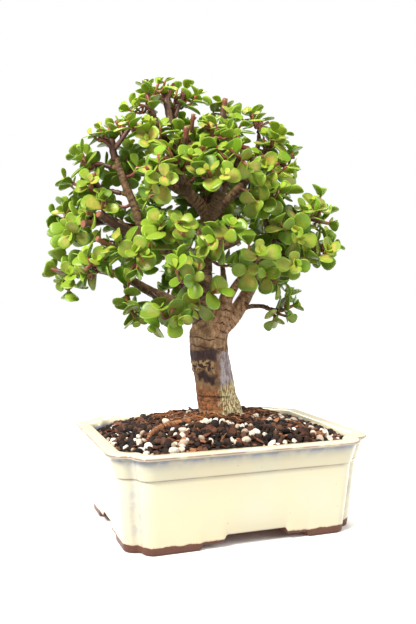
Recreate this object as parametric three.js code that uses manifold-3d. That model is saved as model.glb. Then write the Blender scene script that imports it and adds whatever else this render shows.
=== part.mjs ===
// A dwarf jade bonsai (Portulacaria afra) in a glazed rectangular pot with lobed corners.
// Millimetres, +Z up. The pot stands on z = 0 with its long side along X. The tree is modelled
// in a frame of its own, turned about Z so that its best side faces -Y there.
import * as THREE from "three";
import { mergeVertices } from "three/addons/utils/BufferGeometryUtils.js";
import Module from "manifold-3d";

const wasm = await Module();
wasm.setup();

// Driving dimensions of the pot
const potLength = 254;
const potDepth = 206;
const potHeight = 89;
const footHeight = 11.5;
const floorTop = 20;
const beltHeight = 67;
const drainHoleRadius = 9;
const drainHoleX = 60;
const seatGap = 0.3;
const rootGap = 0.4;

// Driving dimensions of the tree
const treeTurn = THREE.MathUtils.degToRad(-20);
const shootRadius = 2.2;
const twigRadius = 1.2;
const twigFlare = 0.5;
const sideTwigFlare = 0.2;
const spurLength = 3;
const spurFlare = 0.4;
const leastSlant = 0.55;
const forkShare = 0.38;
const leastFork = 3;
const bendPlace = 0.45;
const bendOut = 0.12;
const bendSag = 0.06;

// Driving dimensions of a leaf: its length, and its widths and places as shares of that
const leafLength = 17;
const leafThickness = 1.8;
const leafHalfWidth = 0.37;
const leafWidest = 0.62;
const leafCrest = 0.58;
const leafEnd = 1.02;
const leafEndHalf = 0.2;
const leafEndRise = 0.3;
const leafReach = 7;
const leafBaseHalf = 1.4;
const leafDroop = 0.06;
const lengthRange = [0.85, 1.15];
const looseTurn = 0.3;

// Leaves sit in pairs from a twig's tip down
const leafPairs = 2;
const pairSpacing = 9;
const pairScale = [0.78, 1.05];
const pairOpening = [0.85, 1.15];
const clearOfLeaves = 4.6;
const clearOfWood = 2;
const closeShare = 0.7;

// A leaf turns or opens a little further until it is clear of the other shoots, or isn't made
const leafTries = [
  [0, 0],
  [0.4, 0],
  [-0.4, 0],
  [0, 0.4],
  [0, -0.4],
  [0.8, 0],
  [-0.8, 0],
];

// Driving dimensions of the soil
const soilEdge = 84.5;
const soilMound = 17;
const soilUnevenness = 1.6;
const grainCount = 22;
const grainSize = [4, 7];
const grainSink = 0.6;
const goldenAngle = Math.PI * (3 - Math.sqrt(5));

// A repeatable random source
function randomSource(seed) {
  let state = seed;
  return () => {
    state = (state + 0x6d2b79f5) | 0;
    let t = Math.imul(state ^ (state >>> 15), 1 | state);
    t = (t + Math.imul(t ^ (t >>> 7), 61 | t)) ^ t;
    return ((t ^ (t >>> 14)) >>> 0) / 4294967296;
  };
}

// Solids and geometries
function solidOf(geometry) {
  const bare = geometry.clone();
  bare.deleteAttribute("normal");
  bare.deleteAttribute("uv");
  const merged = mergeVertices(bare, 1e-4);
  return new wasm.Manifold(
    new wasm.Mesh({
      numProp: 3,
      vertProperties: merged.attributes.position.array,
      triVerts: new Uint32Array(merged.index.array),
    }),
  );
}

function geometryOf(solid) {
  const mesh = solid.getMesh();
  const geometry = new THREE.BufferGeometry();
  geometry.setAttribute("position", new THREE.BufferAttribute(mesh.vertProperties, mesh.numProp));
  geometry.setIndex(new THREE.BufferAttribute(mesh.triVerts, 1));
  return geometry;
}

// A closed skin over rings of equally many points; each end is a fan about its middle, or about
// its first corner when the ring is convex
function loft(rings, isConvex) {
  const count = rings[0].length;
  const points = rings.flat();
  const index = [];
  for (let level = 0; level < rings.length - 1; level++) {
    for (let j = 0; j < count; j++) {
      const a = level * count + j;
      const b = level * count + ((j + 1) % count);
      index.push(a, b, b + count, a, b + count, a + count);
    }
  }
  for (const [ring, start, flip] of [
    [rings[0], 0, true],
    [rings.at(-1), (rings.length - 1) * count, false],
  ]) {
    let middle = start;
    if (!isConvex) {
      const centre = ring.reduce((sum, p) => sum.add(p), new THREE.Vector3());
      middle = points.push(centre.divideScalar(count)) - 1;
    }
    for (let j = isConvex ? 1 : 0; j < (isConvex ? count - 1 : count); j++) {
      const a = start + j;
      const b = start + ((j + 1) % count);
      index.push(middle, flip ? b : a, flip ? a : b);
    }
  }
  const geometry = new THREE.BufferGeometry().setFromPoints(points);
  geometry.setIndex(index);
  return geometry;
}

const smoothCurve = (points) => new THREE.CatmullRomCurve3(points, false, "catmullrom", 0.5);

// Rings of points round a curve at the given places on it
function curveRings(curve, places, radiusAt, sides, firstTurn) {
  const side = new THREE.Vector3();
  return places.map((t, i) => {
    const centre = curve.getPoint(t);
    const tangent = curve.getTangent(t);
    if (i === 0) {
      side.set(tangent.z, 0.3, -tangent.x);
      side.addScaledVector(tangent, -side.dot(tangent)).normalize();
      side.applyAxisAngle(tangent, firstTurn);
    }
    side.addScaledVector(tangent, -side.dot(tangent)).normalize();
    const other = new THREE.Vector3().crossVectors(tangent, side);
    const ring = Array.from({ length: sides }, (_, j) => {
      const angle = (2 * Math.PI * j) / sides;
      return centre
        .clone()
        .addScaledVector(side, radiusAt(t) * Math.cos(angle))
        .addScaledVector(other, radiusAt(t) * Math.sin(angle));
    });
    ring.frame = { centre, tangent, side: side.clone(), other };
    return ring;
  });
}

function taper(radii, t) {
  const place = t * (radii.length - 1);
  const low = Math.min(Math.floor(place), radii.length - 2);
  return THREE.MathUtils.lerp(radii[low], radii[low + 1], place - low);
}

// A tapered tube along a smooth curve through the points
function tube(points, radii, sides, steps) {
  const places = Array.from({ length: steps + 1 }, (_, i) => i / steps);
  const rings = curveRings(smoothCurve(points), places, (t) => taper(radii, t), sides, 0);
  return solidOf(loft(rings, true));
}

// The pot's outline: a rectangle whose corners are two round lobes with a hollow between them
const lobeTurn = THREE.MathUtils.degToRad(80);
const hollowRadius = 6;
const lobeSteps = 3;

function potOutline(inset, corner, z) {
  const halfLength = potLength / 2 - inset;
  const halfDepth = potDepth / 2 - inset;
  const sine = Math.sin(lobeTurn);
  const cosine = Math.cos(lobeTurn);
  const lobeRadius = (corner - hollowRadius * (sine - cosine)) / (1 + sine - cosine);
  // One half of a corner, in its own frame, from the side to the corner's middle line
  const half = [];
  for (let i = 0; i <= lobeSteps; i++) {
    const turn = (lobeTurn * i) / lobeSteps;
    half.push([-corner + lobeRadius * Math.sin(turn), -lobeRadius * (1 - Math.cos(turn))]);
  }
  const middle = -corner + lobeRadius * sine + hollowRadius * (sine - Math.SQRT1_2);
  const whole = [...half, [middle, middle], ...half.map(([x, y]) => [y, x]).reverse()];
  const outline = [];
  for (const [signX, signY] of [
    [1, 1],
    [1, -1],
    [-1, -1],
    [-1, 1],
  ]) {
    const points = whole.map(([x, y]) => [signX * (halfLength + x), signY * (halfDepth + y)]);
    outline.push(...(signX * signY > 0 ? points : points.reverse()));
  }
  return outline.reverse().map(([x, y]) => new THREE.Vector3(x, y, z));
}

const loftPot = (levels) => solidOf(loft(levels.map((level) => potOutline(...level))));

// A flat outline of (across, up) points pushed through the pot along Y, or along X when turned
function cutThrough(outline, turned) {
  const shape = new THREE.Shape(outline.map(([across, up]) => new THREE.Vector2(across, up)));
  const depth = 2 * potLength;
  const geometry = new THREE.ExtrudeGeometry(shape, { depth, bevelEnabled: false });
  geometry.translate(0, 0, -depth / 2);
  geometry.rotateX(Math.PI / 2);
  if (turned) {
    geometry.rotateZ(Math.PI / 2);
  }
  return solidOf(geometry);
}

// The cloud-shaped gap between two feet: a low shelf at each side and a higher middle
const frontGap = { middle: 6, halfWidth: 54, halfMiddle: 28 };
const sideGap = { middle: 0, halfWidth: 38, halfMiddle: 16 };

function footGap({ middle, halfWidth, halfMiddle }) {
  const right = [
    [halfMiddle, footHeight - 0.5],
    [halfMiddle + 4, 5],
    [halfWidth - 4, 4.5],
    [halfWidth, 0],
    [halfWidth, -1],
  ];
  const left = right.map(([x, z]) => [-x, z]).reverse();
  return [...left, ...right].map(([x, z]) => [middle + x, z]);
}

// Each level is an inset from the rim's outline, the size of the corner and a height
const outsideLevels = [
  [16.5, 24, 0],
  [9.8, 27, beltHeight - 1],
  [8, 29, beltHeight],
  [3.5, 32, potHeight - 5],
  [0, 34, potHeight - 3.5],
  [0.5, 34, potHeight - 1],
  [2, 33, potHeight],
];
const insideLevels = [
  [30, 20, floorTop],
  [22, 24, floorTop + 9],
  [15, 27, potHeight - 4],
  [13, 28, potHeight + 0.5],
];
const undersideLevels = [
  [29.5, 20, -1],
  [30, 20, footHeight],
];

function makePot() {
  const hole = new THREE.CylinderGeometry(drainHoleRadius, drainHoleRadius, 40, 16);
  hole.rotateX(Math.PI / 2);
  let pot = loftPot(outsideLevels).subtract(loftPot(insideLevels)).subtract(loftPot(undersideLevels));
  pot = pot.subtract(cutThrough(footGap(frontGap), false));
  pot = pot.subtract(cutThrough(footGap(sideGap), true));
  for (const x of [-drainHoleX, drainHoleX]) {
    pot = pot.subtract(solidOf(hole).translate([x, 0, floorTop]));
  }
  return pot;
}

// A square of plastic mesh over each drain hole, under the soil
const screenSize = 30;
const screenThickness = 1.2;
const screenCells = 3;
const screenOpening = 6.5;

function makeScreen() {
  let screen = solidOf(new THREE.BoxGeometry(screenSize, screenSize, screenThickness));
  const opening = solidOf(new THREE.BoxGeometry(screenOpening, screenOpening, 3 * screenThickness));
  const pitch = (screenSize - screenOpening / 2) / screenCells;
  for (let i = 0; i < screenCells; i++) {
    for (let j = 0; j < screenCells; j++) {
      const x = (i - (screenCells - 1) / 2) * pitch;
      const y = (j - (screenCells - 1) / 2) * pitch;
      screen = screen.subtract(opening.translate([x, y, 0]));
    }
  }
  return screen;
}

// The tree's skeleton, in the tree's own frame: X to the right, Y away, seen from its best side.
// A limb is a list of [x, y, z] points, its radius at the start and at the end, and its sides.
const limbs = {
  trunk: {
    points: [
      ...[[6, 16, 72], [5, 16, 92], [4, 16, 104], [1, 15, 116]],
      ...[[-3, 13, 140], [-7, 11, 166], [-8, 10, 184], [-8, 9, 200]],
    ],
    radii: [17, 25, 22, 20.5, 19.5, 19.5, 19.5, 10],
    sides: 10,
  },
  leader: {
    points: [[-10, 8, 178], [-13, 5, 206], [-13, 0, 251], [-12, -3, 275], [-6, -6, 306]],
    radii: [15, 11, 9, 8.5, 7.5],
    sides: 7,
  },
  right_fork: { points: [[-3, 10, 176], [5, 10, 196], [10, 12, 219]], radii: [14, 10.5, 7], sides: 7 },
  right_upright: { points: [[9, 12, 212], [8, 14, 233], [6, 20, 256]], radii: [5, 3.5, 2.6], sides: 5 },
  right_inner: {
    points: [[9, 12, 212], [22, 5, 234], [38, -5, 249], [60, -10, 259], [86, -6, 265]],
    radii: [5, 4, 3.8, 3.2, 2.6],
    sides: 5,
  },
  right_outer: {
    points: [[3, 12, 186], [20, 18, 203], [40, 27, 237], [53, 22, 259], [66, 11, 283], [84, 3, 294]],
    radii: [10, 8, 6, 4.6, 4, 2.8],
    sides: 6,
  },
  low_twig: { points: [[20, 18, 203], [33, 14, 209], [46, 8, 210]], radii: [3, 2.6, 2.4], sides: 4 },
  left_main: {
    points: [
      ...[[-13, 3, 224], [-26, -3, 246], [-40, -11, 260]],
      ...[[-70, -25, 272], [-94, -32, 289], [-112, -32, 297]],
    ],
    radii: [7.5, 7, 6.5, 6, 5, 3.5],
    sides: 6,
  },
  left_low: {
    points: [
      ...[[-10, 6, 188], [-30, 0, 208], [-64, -20, 225]],
      ...[[-86, -27, 238], [-106, -26, 244], [-124, -20, 246]],
    ],
    radii: [7.5, 6, 5, 4.5, 3.6, 2.6],
    sides: 6,
  },
  left_spire: {
    points: [[-70, -25, 272], [-76, -29, 300], [-89, -28, 332], [-97, -20, 356]],
    radii: [4.6, 4.3, 4, 2.8],
    sides: 5,
  },
  crown_left: {
    points: [[-8, -6, 298], [-17, -12, 310], [-29, -18, 323], [-47, -16, 366], [-58, -12, 388]],
    radii: [7, 6.5, 6, 4, 2.6],
    sides: 6,
  },
  crown_top: { points: [[-34, -18, 332], [-42, -5, 368], [-45, 1, 388]], radii: [4, 3.2, 2.4], sides: 5 },
  centre_top: {
    points: [[-6, -5, 300], [0, 6, 335], [4, 13, 364], [7, 17, 390]],
    radii: [5, 4, 3.3, 2.4],
    sides: 5,
  },
  front_stub: { points: [[-6, -8, 298], [4, -28, 319], [22, -56, 347]], radii: [5.5, 5, 4], sides: 6 },
  crown_right: {
    points: [[-5, -5, 298], [16, 2, 320], [36, 12, 344], [43, 18, 378]],
    radii: [5.5, 4.8, 3.8, 2.4],
    sides: 5,
  },
  crown_right_low: { points: [[33, 10, 338], [46, 11, 342], [58, 9, 348]], radii: [3.2, 2.8, 2.4], sides: 4 },
  right_spire: { points: [[60, 17, 271], [49, -3, 291], [47, -17, 305]], radii: [3.6, 3.2, 2.6], sides: 5 },
  front_low: { points: [[-13, 2, 226], [-17, -40, 226], [-19, -74, 229]], radii: [5, 4, 2.8], sides: 5 },
  front_mid: { points: [[-12, -1, 253], [4, -34, 265], [18, -68, 270]], radii: [4.6, 3.8, 2.8], sides: 5 },
  front_left: {
    points: [[-40, -11, 260], [-48, -38, 258], [-62, -60, 255]],
    radii: [4.4, 3.6, 2.8],
    sides: 5,
  },
  front_up: { points: [[-29, -18, 322], [-35, -40, 318], [-40, -56, 319]], radii: [4, 3.4, 2.8], sides: 5 },
  back_left: { points: [[-38, -10, 259], [-52, 28, 281], [-72, 66, 296]], radii: [5, 4.2, 3], sides: 5 },
  back_low: { points: [[-13, 5, 206], [-20, 34, 222], [-28, 62, 232]], radii: [5, 4.2, 3], sides: 5 },
  back_right: { points: [[28, 21, 215], [42, 44, 236], [54, 66, 252]], radii: [5, 4.2, 3], sides: 5 },
  back_middle: { points: [[-13, 0, 249], [-4, 34, 274], [6, 66, 290]], radii: [5, 4.2, 3], sides: 5 },
  back_top: { points: [[-9, -5, 292], [-6, 22, 322], [-12, 52, 356]], radii: [5, 4, 2.8], sides: 5 },
};

// A surface root runs out over the soil on the left, and short roots flare all round the trunk
const surfaceRoot = {
  points: [[2, 14, 99], [-30, -4, 99], [-56, -19, 91], [-64, -36, 82]],
  radii: [7, 4.2, 3.4, 2.6],
};
const flareRoots = 6;
const flareReach = [8, 24, 42];
const flareHeights = [112, 96, 76];
const flareRadii = [8, 6, 3];
const flareUnevenness = 0.4;

// Leafy shoots: the limb that carries each one, how far along it, and the points its leaves reach
const shoots = {
  crown_left_tip: ["crown_left", 1, [[-72, -5, 431], [-54, -20, 430], [-80, -22, 404]]],
  crown_top_tip: ["crown_top", 1, [[-54, 6, 428], [-38, 8, 431], [-25, 3, 418]]],
  crown_top_side: ["crown_top", 0.25, [[-26, 18, 398], [-14, 18, 376]]],
  crown_front: ["crown_left", 0.72, [[-86, -30, 384], [-64, -52, 364]]],
  centre_top_tip: ["centre_top", 1, [[2, 22, 422], [17, 22, 412]]],
  centre_top_side: ["centre_top", 0.62, [[-12, -22, 388], [18, -18, 392]]],
  crown_right_tip: ["crown_right", 1, [[42, 20, 412], [30, 6, 404], [58, 26, 400]]],
  crown_right_side: ["crown_right", 0.76, [[74, 16, 388], [56, -12, 376]]],
  right_shoulder_tip: ["crown_right_low", 1, [[80, 0, 344], [76, 12, 364]]],
  right_shoulder: ["crown_right_low", 0.4, [[64, -26, 350], [44, -44, 342]]],
  left_spire_tip: ["left_spire", 1, [[-106, -6, 390], [-90, -20, 390], [-118, -16, 378]]],
  left_spire_upper: ["left_spire", 0.78, [[-142, -2, 360], [-136, -24, 350]]],
  left_spire_lower: ["left_spire", 0.5, [[-154, -8, 336], [-136, 8, 322], [-122, -44, 328]]],
  left_main_tip: ["left_main", 1, [[-163, -10, 300], [-150, -26, 284], [-160, 6, 278]]],
  left_main_front: ["left_main", 0.84, [[-124, -62, 296], [-104, -62, 312]]],
  left_low_tip: ["left_low", 1, [[-166, 0, 248], [-152, -26, 232]]],
  left_low_front: ["left_low", 0.78, [[-126, -50, 238], [-108, -72, 256]]],
  left_cluster: ["front_left", 1, [[-72, -94, 262], [-90, -84, 274], [-72, -84, 240]]],
  left_hanging: ["left_low", 0.62, [[-84, -50, 210], [-74, -50, 194]]],
  left_hanging_inner: ["left_low", 0.42, [[-44, -60, 204], [-32, -80, 198]]],
  front_rosette: ["front_low", 1, [[-20, -112, 236], [-38, -98, 250]]],
  front_rosette_low: ["front_low", 0.5, [[4, -84, 228], [-24, -78, 206]]],
  front_middle: ["front_mid", 1, [[12, -96, 286], [-6, -102, 270]]],
  front_right: ["right_inner", 0.42, [[38, -84, 262], [26, -70, 244]]],
  front_left_upper: ["front_left", 0.5, [[-30, -92, 290], [-52, -82, 288]]],
  front_high: ["front_up", 1, [[-66, -96, 336], [-46, -104, 324], [-62, -88, 312]]],
  front_crown: ["front_up", 0.4, [[-46, -60, 358], [-22, -68, 350]]],
  centre_rosette: ["front_stub", 0.5, [[-10, -90, 332], [6, -92, 328]]],
  stub_rosette: ["front_stub", 1, [[6, -78, 354], [30, -82, 332]]],
  stub_crown: ["front_stub", 0.86, [[8, -54, 380], [28, -50, 366]]],
  right_spire_tip: ["right_spire", 1, [[48, -50, 320], [66, -26, 322], [32, -66, 306]]],
  right_outer_tip: ["right_outer", 1, [[118, 0, 290], [104, -18, 306]]],
  right_outer_front: ["right_outer", 0.8, [[84, -38, 304], [72, -52, 282]]],
  right_inner_tip: ["right_inner", 1, [[122, 0, 272], [108, 18, 256], [112, -20, 266]]],
  right_inner_front: ["right_inner", 0.7, [[74, -50, 250], [80, 4, 250]]],
  right_inner_low: ["right_inner", 0.5, [[46, -56, 240], [62, -32, 228]]],
  low_twig_tip: ["low_twig", 1, [[82, -6, 212], [74, -12, 198], [56, -18, 192]]],
  back_left_tip: ["back_left", 1, [[-96, 82, 312], [-80, 98, 292]]],
  back_left_side: ["back_left", 0.45, [[-112, 36, 302], [-118, 42, 276], [-96, 66, 262]]],
  back_low_tip: ["back_low", 1, [[-40, 96, 232], [-14, 92, 244], [-62, 78, 226]]],
  back_right_tip: ["back_right", 1, [[60, 98, 262], [84, 76, 268]]],
  back_middle_tip: ["back_middle", 1, [[10, 100, 296], [-20, 98, 282], [36, 88, 310]]],
  back_top_tip: ["back_top", 1, [[-12, 80, 366], [-40, 72, 352], [14, 76, 346]]],
  back_top_crown: ["centre_top", 0.4, [[-14, 56, 388], [18, 54, 380], [-40, 48, 380]]],
  back_right_crown: ["crown_right", 0.36, [[50, 62, 354], [72, 46, 366]]],
  back_left_crown: ["left_spire", 0.62, [[-104, 26, 348], [-82, 34, 366]]],
};

const vector = (xyz) => new THREE.Vector3(...xyz);
const limbCurve = (limb) => smoothCurve(limb.points.map(vector));

// Where a shoot leaves its limb, where it is seated on the limb's short spur, and where it forks
function shootFrame([limbName, at, tips]) {
  const limb = limbs[limbName];
  const curve = limbCurve(limb);
  const start = curve.getPoint(at);
  const centre = new THREE.Vector3();
  tips.forEach((tip) => centre.add(vector(tip).divideScalar(tips.length)));
  const direction = centre.clone().sub(start).normalize();
  const slant = new THREE.Vector3().crossVectors(curve.getTangent(at), direction).length();
  const clear = (taper(limb.radii, at) + spurLength) / (at < 1 ? Math.max(slant, leastSlant) : 1);
  const seat = start.clone().addScaledVector(direction, clear);
  const reach = Math.max(forkShare * centre.distanceTo(start), clear + leastFork);
  const fork = start.clone().addScaledVector(direction, reach);
  const ends = tips.map((tip) => {
    const end = vector(tip);
    return end.addScaledVector(fork.clone().sub(end).normalize(), leafReach);
  });
  return { start, seat, fork, direction, tips: ends };
}

// A twig leaves the fork in the shoot's direction and bends up towards its tip. The first twig
// of a shoot starts at the seat.
function twigPoints(frame, twig) {
  const tip = frame.tips[twig];
  const reach = tip.distanceTo(frame.fork);
  const bend = frame.fork.clone().lerp(tip, bendPlace);
  bend.addScaledVector(frame.direction, bendOut * reach);
  bend.z -= bendSag * reach;
  const points = [frame.fork, bend, tip];
  if (twig === 0) {
    points.unshift(frame.seat.clone().addScaledVector(frame.direction, seatGap));
  }
  return points;
}

// The rings of a twig: its start, its fork, each pair of leaves and halfway between the pairs.
// A twig too short for all its pairs has one.
const nearestRings = 0.03;
const firstLeafPlace = 0.05;
const shortestPair = 0.7;

function twigRings(frame, twig, firstTurn) {
  const points = twigPoints(frame, twig);
  const curve = smoothCurve(points);
  const length = curve.getLength();
  const fromTip = (distance) => curve.getUtoTmapping(Math.max(1 - distance / length, firstLeafPlace));
  const roomForAll = 2 * leafBaseHalf + leafPairs * pairSpacing * shortestPair;
  const pairs = length > roomForAll ? leafPairs : 1;
  const lowest = leafBaseHalf + (pairs - 1) * pairSpacing;
  const places = [0, fromTip(lowest + 2 * leafBaseHalf)];
  const forkPlace = 1 / (points.length - 1);
  if (twig === 0 && forkPlace < places[1] - nearestRings) {
    places.splice(1, 0, forkPlace);
  }
  for (let distance = lowest; distance > 0; distance -= pairSpacing) {
    places.push(fromTip(distance), fromTip(Math.max(distance - pairSpacing / 2, 0)));
  }
  const radii =
    twig === 0
      ? [shootRadius, twigRadius + twigFlare, twigRadius, twigRadius]
      : [twigRadius + sideTwigFlare, twigRadius];
  const rings = curveRings(curve, places, (t) => taper(radii, t), 4, firstTurn);
  rings.pairs = pairs;
  return rings;
}

const pairRing = (rings, pair) => rings.length - 2 - 2 * pair;

// A leaf's frame: it stands out of a corner of its twig, opened by an angle from the twig's tip
function leafFrame(ring, corner, turn, opening, length) {
  const { centre, tangent, side, other } = ring.frame;
  const angle = (Math.PI * corner) / 2 + turn;
  const mix = (a, shareOfA, b, shareOfB) => a.clone().multiplyScalar(shareOfA).addScaledVector(b, shareOfB);
  const outward = mix(side, Math.cos(angle), other, Math.sin(angle));
  const axis = mix(outward, Math.sin(opening), tangent, Math.cos(opening));
  const normal = mix(tangent, Math.sin(opening), outward, -Math.cos(opening));
  const across = new THREE.Vector3().crossVectors(normal, axis);
  const at = (along, sideways, up) =>
    centre
      .clone()
      .addScaledVector(axis, along * length)
      .addScaledVector(across, sideways * length)
      .addScaledVector(normal, up - leafDroop * length * along * along);
  return { corner, at };
}

// Spots on a leaf, as shares of its length along and across it, that stay clear of other leaves
const leafSpots = [
  [0.3, 0],
  [0.65, 0],
  [1.05, 0],
  [0.65, 0.36],
  [0.65, -0.36],
  [leafEnd, leafEndHalf],
  [leafEnd, -leafEndHalf],
];
const leafSamples = (leaf) => leafSpots.map(([along, sideways]) => leaf.at(along, sideways, 0));

// The leaves of a twig, in opposite pairs that turn a quarter each time, from the tip down
function twigLeaves(rings, random, isClear) {
  const leaves = [];
  for (let pair = 0; pair < rings.pairs; pair++) {
    const ring = rings[pairRing(rings, pair)];
    for (const corner of pair % 2 ? [1, 3] : [0, 2]) {
      const turn = looseTurn * (random() - 0.5);
      const length = leafLength * pairScale[pair] * THREE.MathUtils.lerp(...lengthRange, random());
      const opening = pairOpening[pair] + looseTurn * (random() - 0.5);
      for (const [moreTurn, moreOpening] of leafTries) {
        const leaf = leafFrame(ring, corner, turn + moreTurn, opening + moreOpening, length);
        if (isClear(leaf)) {
          leaves.push({ ...leaf, pair });
          break;
        }
      }
    }
  }
  return leaves;
}

// A twig with its leaves grown out of it: a four-sided tube where a corner becomes the root of a
// leaf. A leaf is raised in the middle, flat below, broadest past its middle and blunt at its end.
function leafyTwig(rings, leaves) {
  const points = rings.slice(0, -1).flat();
  const apex = points.push(rings.at(-1).frame.centre) - 1;
  const index = [];
  const key = (level, corner) => Math.min(4 * level + (corner % 4), apex);
  const leafAt = new Map(leaves.map((leaf) => [key(pairRing(rings, leaf.pair), leaf.corner), leaf]));
  const push = (...triangle) => {
    if (!triangle.some((i) => leafAt.has(i))) {
      index.push(...triangle);
    }
  };
  for (let level = 0; level < rings.length - 1; level++) {
    for (let j = 0; j < 4; j++) {
      const [a, b, c, d] = [key(level, j), key(level, j + 1), key(level + 1, j + 1), key(level + 1, j)];
      if (c === apex) {
        push(a, b, apex);
      } else if (leafAt.has(a) || leafAt.has(c)) {
        push(a, b, d);
        push(b, c, d);
      } else {
        push(a, b, c);
        push(a, c, d);
      }
    }
  }
  index.push(0, 2, 1, 0, 3, 2);
  for (const [root, leaf] of leafAt) {
    const level = Math.floor(root / 4);
    const hole = [key(level, root + 1), key(level + 1, root), key(level, root + 3), root - 4];
    const [plus, top, minus, endPlus, endMinus] = [
      leaf.at(leafWidest, leafHalfWidth, 0),
      leaf.at(leafCrest, 0, leafThickness),
      leaf.at(leafWidest, -leafHalfWidth, 0),
      leaf.at(leafEnd, leafEndHalf, leafEndRise),
      leaf.at(leafEnd, -leafEndHalf, leafEndRise),
    ].map((point) => points.push(point) - 1);
    index.push(hole[0], hole[1], top, hole[0], top, plus, hole[1], hole[2], minus, hole[1], minus, top);
    index.push(hole[2], hole[3], minus, hole[3], hole[0], plus, hole[3], plus, minus);
    index.push(plus, top, endPlus, top, minus, endMinus, top, endMinus, endPlus);
    index.push(minus, plus, endPlus, minus, endPlus, endMinus);
  }
  const used = [...new Set(index)];
  const place = new Map(used.map((old, i) => [old, i]));
  const geometry = new THREE.BufferGeometry().setFromPoints(used.map((i) => points[i]));
  geometry.setIndex(index.map((i) => place.get(i)));
  return solidOf(geometry);
}

// Points along every limb and shoot, each with its radius, for keeping leaves clear of them
const sampleSpacing = 3;

function woodSamples(frames) {
  const samples = [];
  const add = (owner, curve, radiusAt) => {
    const count = Math.ceil(curve.getLength() / sampleSpacing);
    for (let i = 0; i <= count; i++) {
      samples.push({ owner, point: curve.getPoint(i / count), radius: radiusAt(i / count) });
    }
  };
  for (const limb of Object.values(limbs)) {
    add("wood", limbCurve(limb), (t) => taper(limb.radii, t));
  }
  for (const [name, frame] of Object.entries(frames)) {
    add("wood", smoothCurve([frame.start, frame.seat]), () => shootRadius);
    frame.tips.forEach((_, twig) => {
      add(`${name} ${twig}`, smoothCurve(twigPoints(frame, twig)), () => twigRadius + twigFlare);
    });
  }
  return samples;
}

// A limb or root, or the room it needs in the soil when grown by a gap
function limbTube({ points, radii, sides }, gap) {
  const grown = radii.map((radius) => radius + gap);
  return tube(points.map(vector), grown, sides, points.length - 1);
}

function rootTubes(gap) {
  const tubes = [limbTube({ ...surfaceRoot, sides: 5 }, gap)];
  const [x, y] = limbs.trunk.points[1];
  for (let i = 0; i < flareRoots; i++) {
    const angle = (2 * Math.PI * (i + flareUnevenness * Math.sin(5 * i))) / flareRoots;
    const points = flareReach.map((distance, k) => [
      x + distance * Math.cos(angle),
      y + distance * Math.sin(angle),
      flareHeights[k],
    ]);
    tubes.push(limbTube({ points, radii: flareRadii, sides: 5 }, gap));
  }
  return tubes;
}

function makeTree(frames) {
  const parts = Object.values(limbs).map((limb) => limbTube(limb, 0));
  parts.push(...rootTubes(0));
  for (const frame of Object.values(frames)) {
    parts.push(tube([frame.start, frame.seat], [shootRadius + spurFlare, shootRadius], 4, 1));
  }
  return wasm.Manifold.union(parts);
}

// The soil: a mound that fills the pot, with grains standing out of its surface
const soilInset = 0.3;
const soilRings = [0.82, 0.58, 0.3];
const grainShares = [0.26, 0.88];
const grainEdge = 6;

function soilHeight(share) {
  return soilEdge + soilMound * (1 - share * share);
}

function makeSoil(rootRoom) {
  const wall = insideLevels.slice(0, 3).map(([inset, corner, z]) => [inset + soilInset, corner, z]);
  wall[0][2] += seatGap;
  const [, lower, upper] = insideLevels;
  const fill = (soilEdge - lower[2]) / (upper[2] - lower[2]);
  wall[2] = [THREE.MathUtils.lerp(lower[0], upper[0], fill) + soilInset, upper[1], soilEdge];
  const rings = wall.map((level) => potOutline(...level));
  const top = rings.at(-1);
  const random = randomSource(11);
  for (const share of soilRings) {
    const uneven = () => soilHeight(share) + soilUnevenness * (random() - 0.5);
    rings.push(top.map((p) => new THREE.Vector3(p.x * share, p.y * share, uneven())));
  }
  const parts = [solidOf(loft(rings))];
  const reachX = potLength / 2 - insideLevels[2][0] - grainEdge;
  const reachY = potDepth / 2 - insideLevels[2][0] - grainEdge;
  for (let i = 0; i < grainCount; i++) {
    const angle = i * goldenAngle;
    const share = THREE.MathUtils.lerp(...grainShares, Math.sqrt((i + 0.5) / grainCount));
    const grain = new THREE.OctahedronGeometry(THREE.MathUtils.lerp(...grainSize, random()), 0);
    grain.rotateX(6 * random()).rotateY(6 * random());
    grain.scale(1.25, 1, 0.8).rotateZ(6 * random());
    const x = reachX * share * Math.cos(angle);
    const y = reachY * share * Math.sin(angle);
    grain.translate(x, y, soilHeight(share) + grainSink);
    parts.push(solidOf(grain));
  }
  let soil = wasm.Manifold.union(parts).subtract(wasm.Manifold.union(rootRoom));
  const room = screenThickness + 2 * seatGap;
  const pocket = new THREE.BoxGeometry(screenSize + 2 * seatGap, screenSize + 2 * seatGap, 2 * room);
  for (const x of [-drainHoleX, drainHoleX]) {
    soil = soil.subtract(solidOf(pocket).translate([x, 0, floorTop]));
  }
  const [largest] = soil.decompose().sort((a, b) => b.volume() - a.volume());
  return largest;
}

// Materials
const material = (color, roughness) => new THREE.MeshStandardMaterial({ color, roughness, metalness: 0 });
const glaze = material(0xf1e6c2, 0.15);
const soilMaterial = material(0x3a2a20, 0.95);
const screenMaterial = material(0x23262a, 0.6);
const bark = material(0x8a6a54, 0.8);
const leafMaterial = material(0x76a02c, 0.35);

function addMesh(group, name, solid, itsMaterial) {
  const mesh = new THREE.Mesh(geometryOf(solid), itsMaterial);
  mesh.name = name;
  group.add(mesh);
  return mesh;
}

// Assembly
const bonsai = new THREE.Group();
const treeGroup = new THREE.Group();
treeGroup.rotation.z = treeTurn;
bonsai.add(treeGroup);

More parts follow.
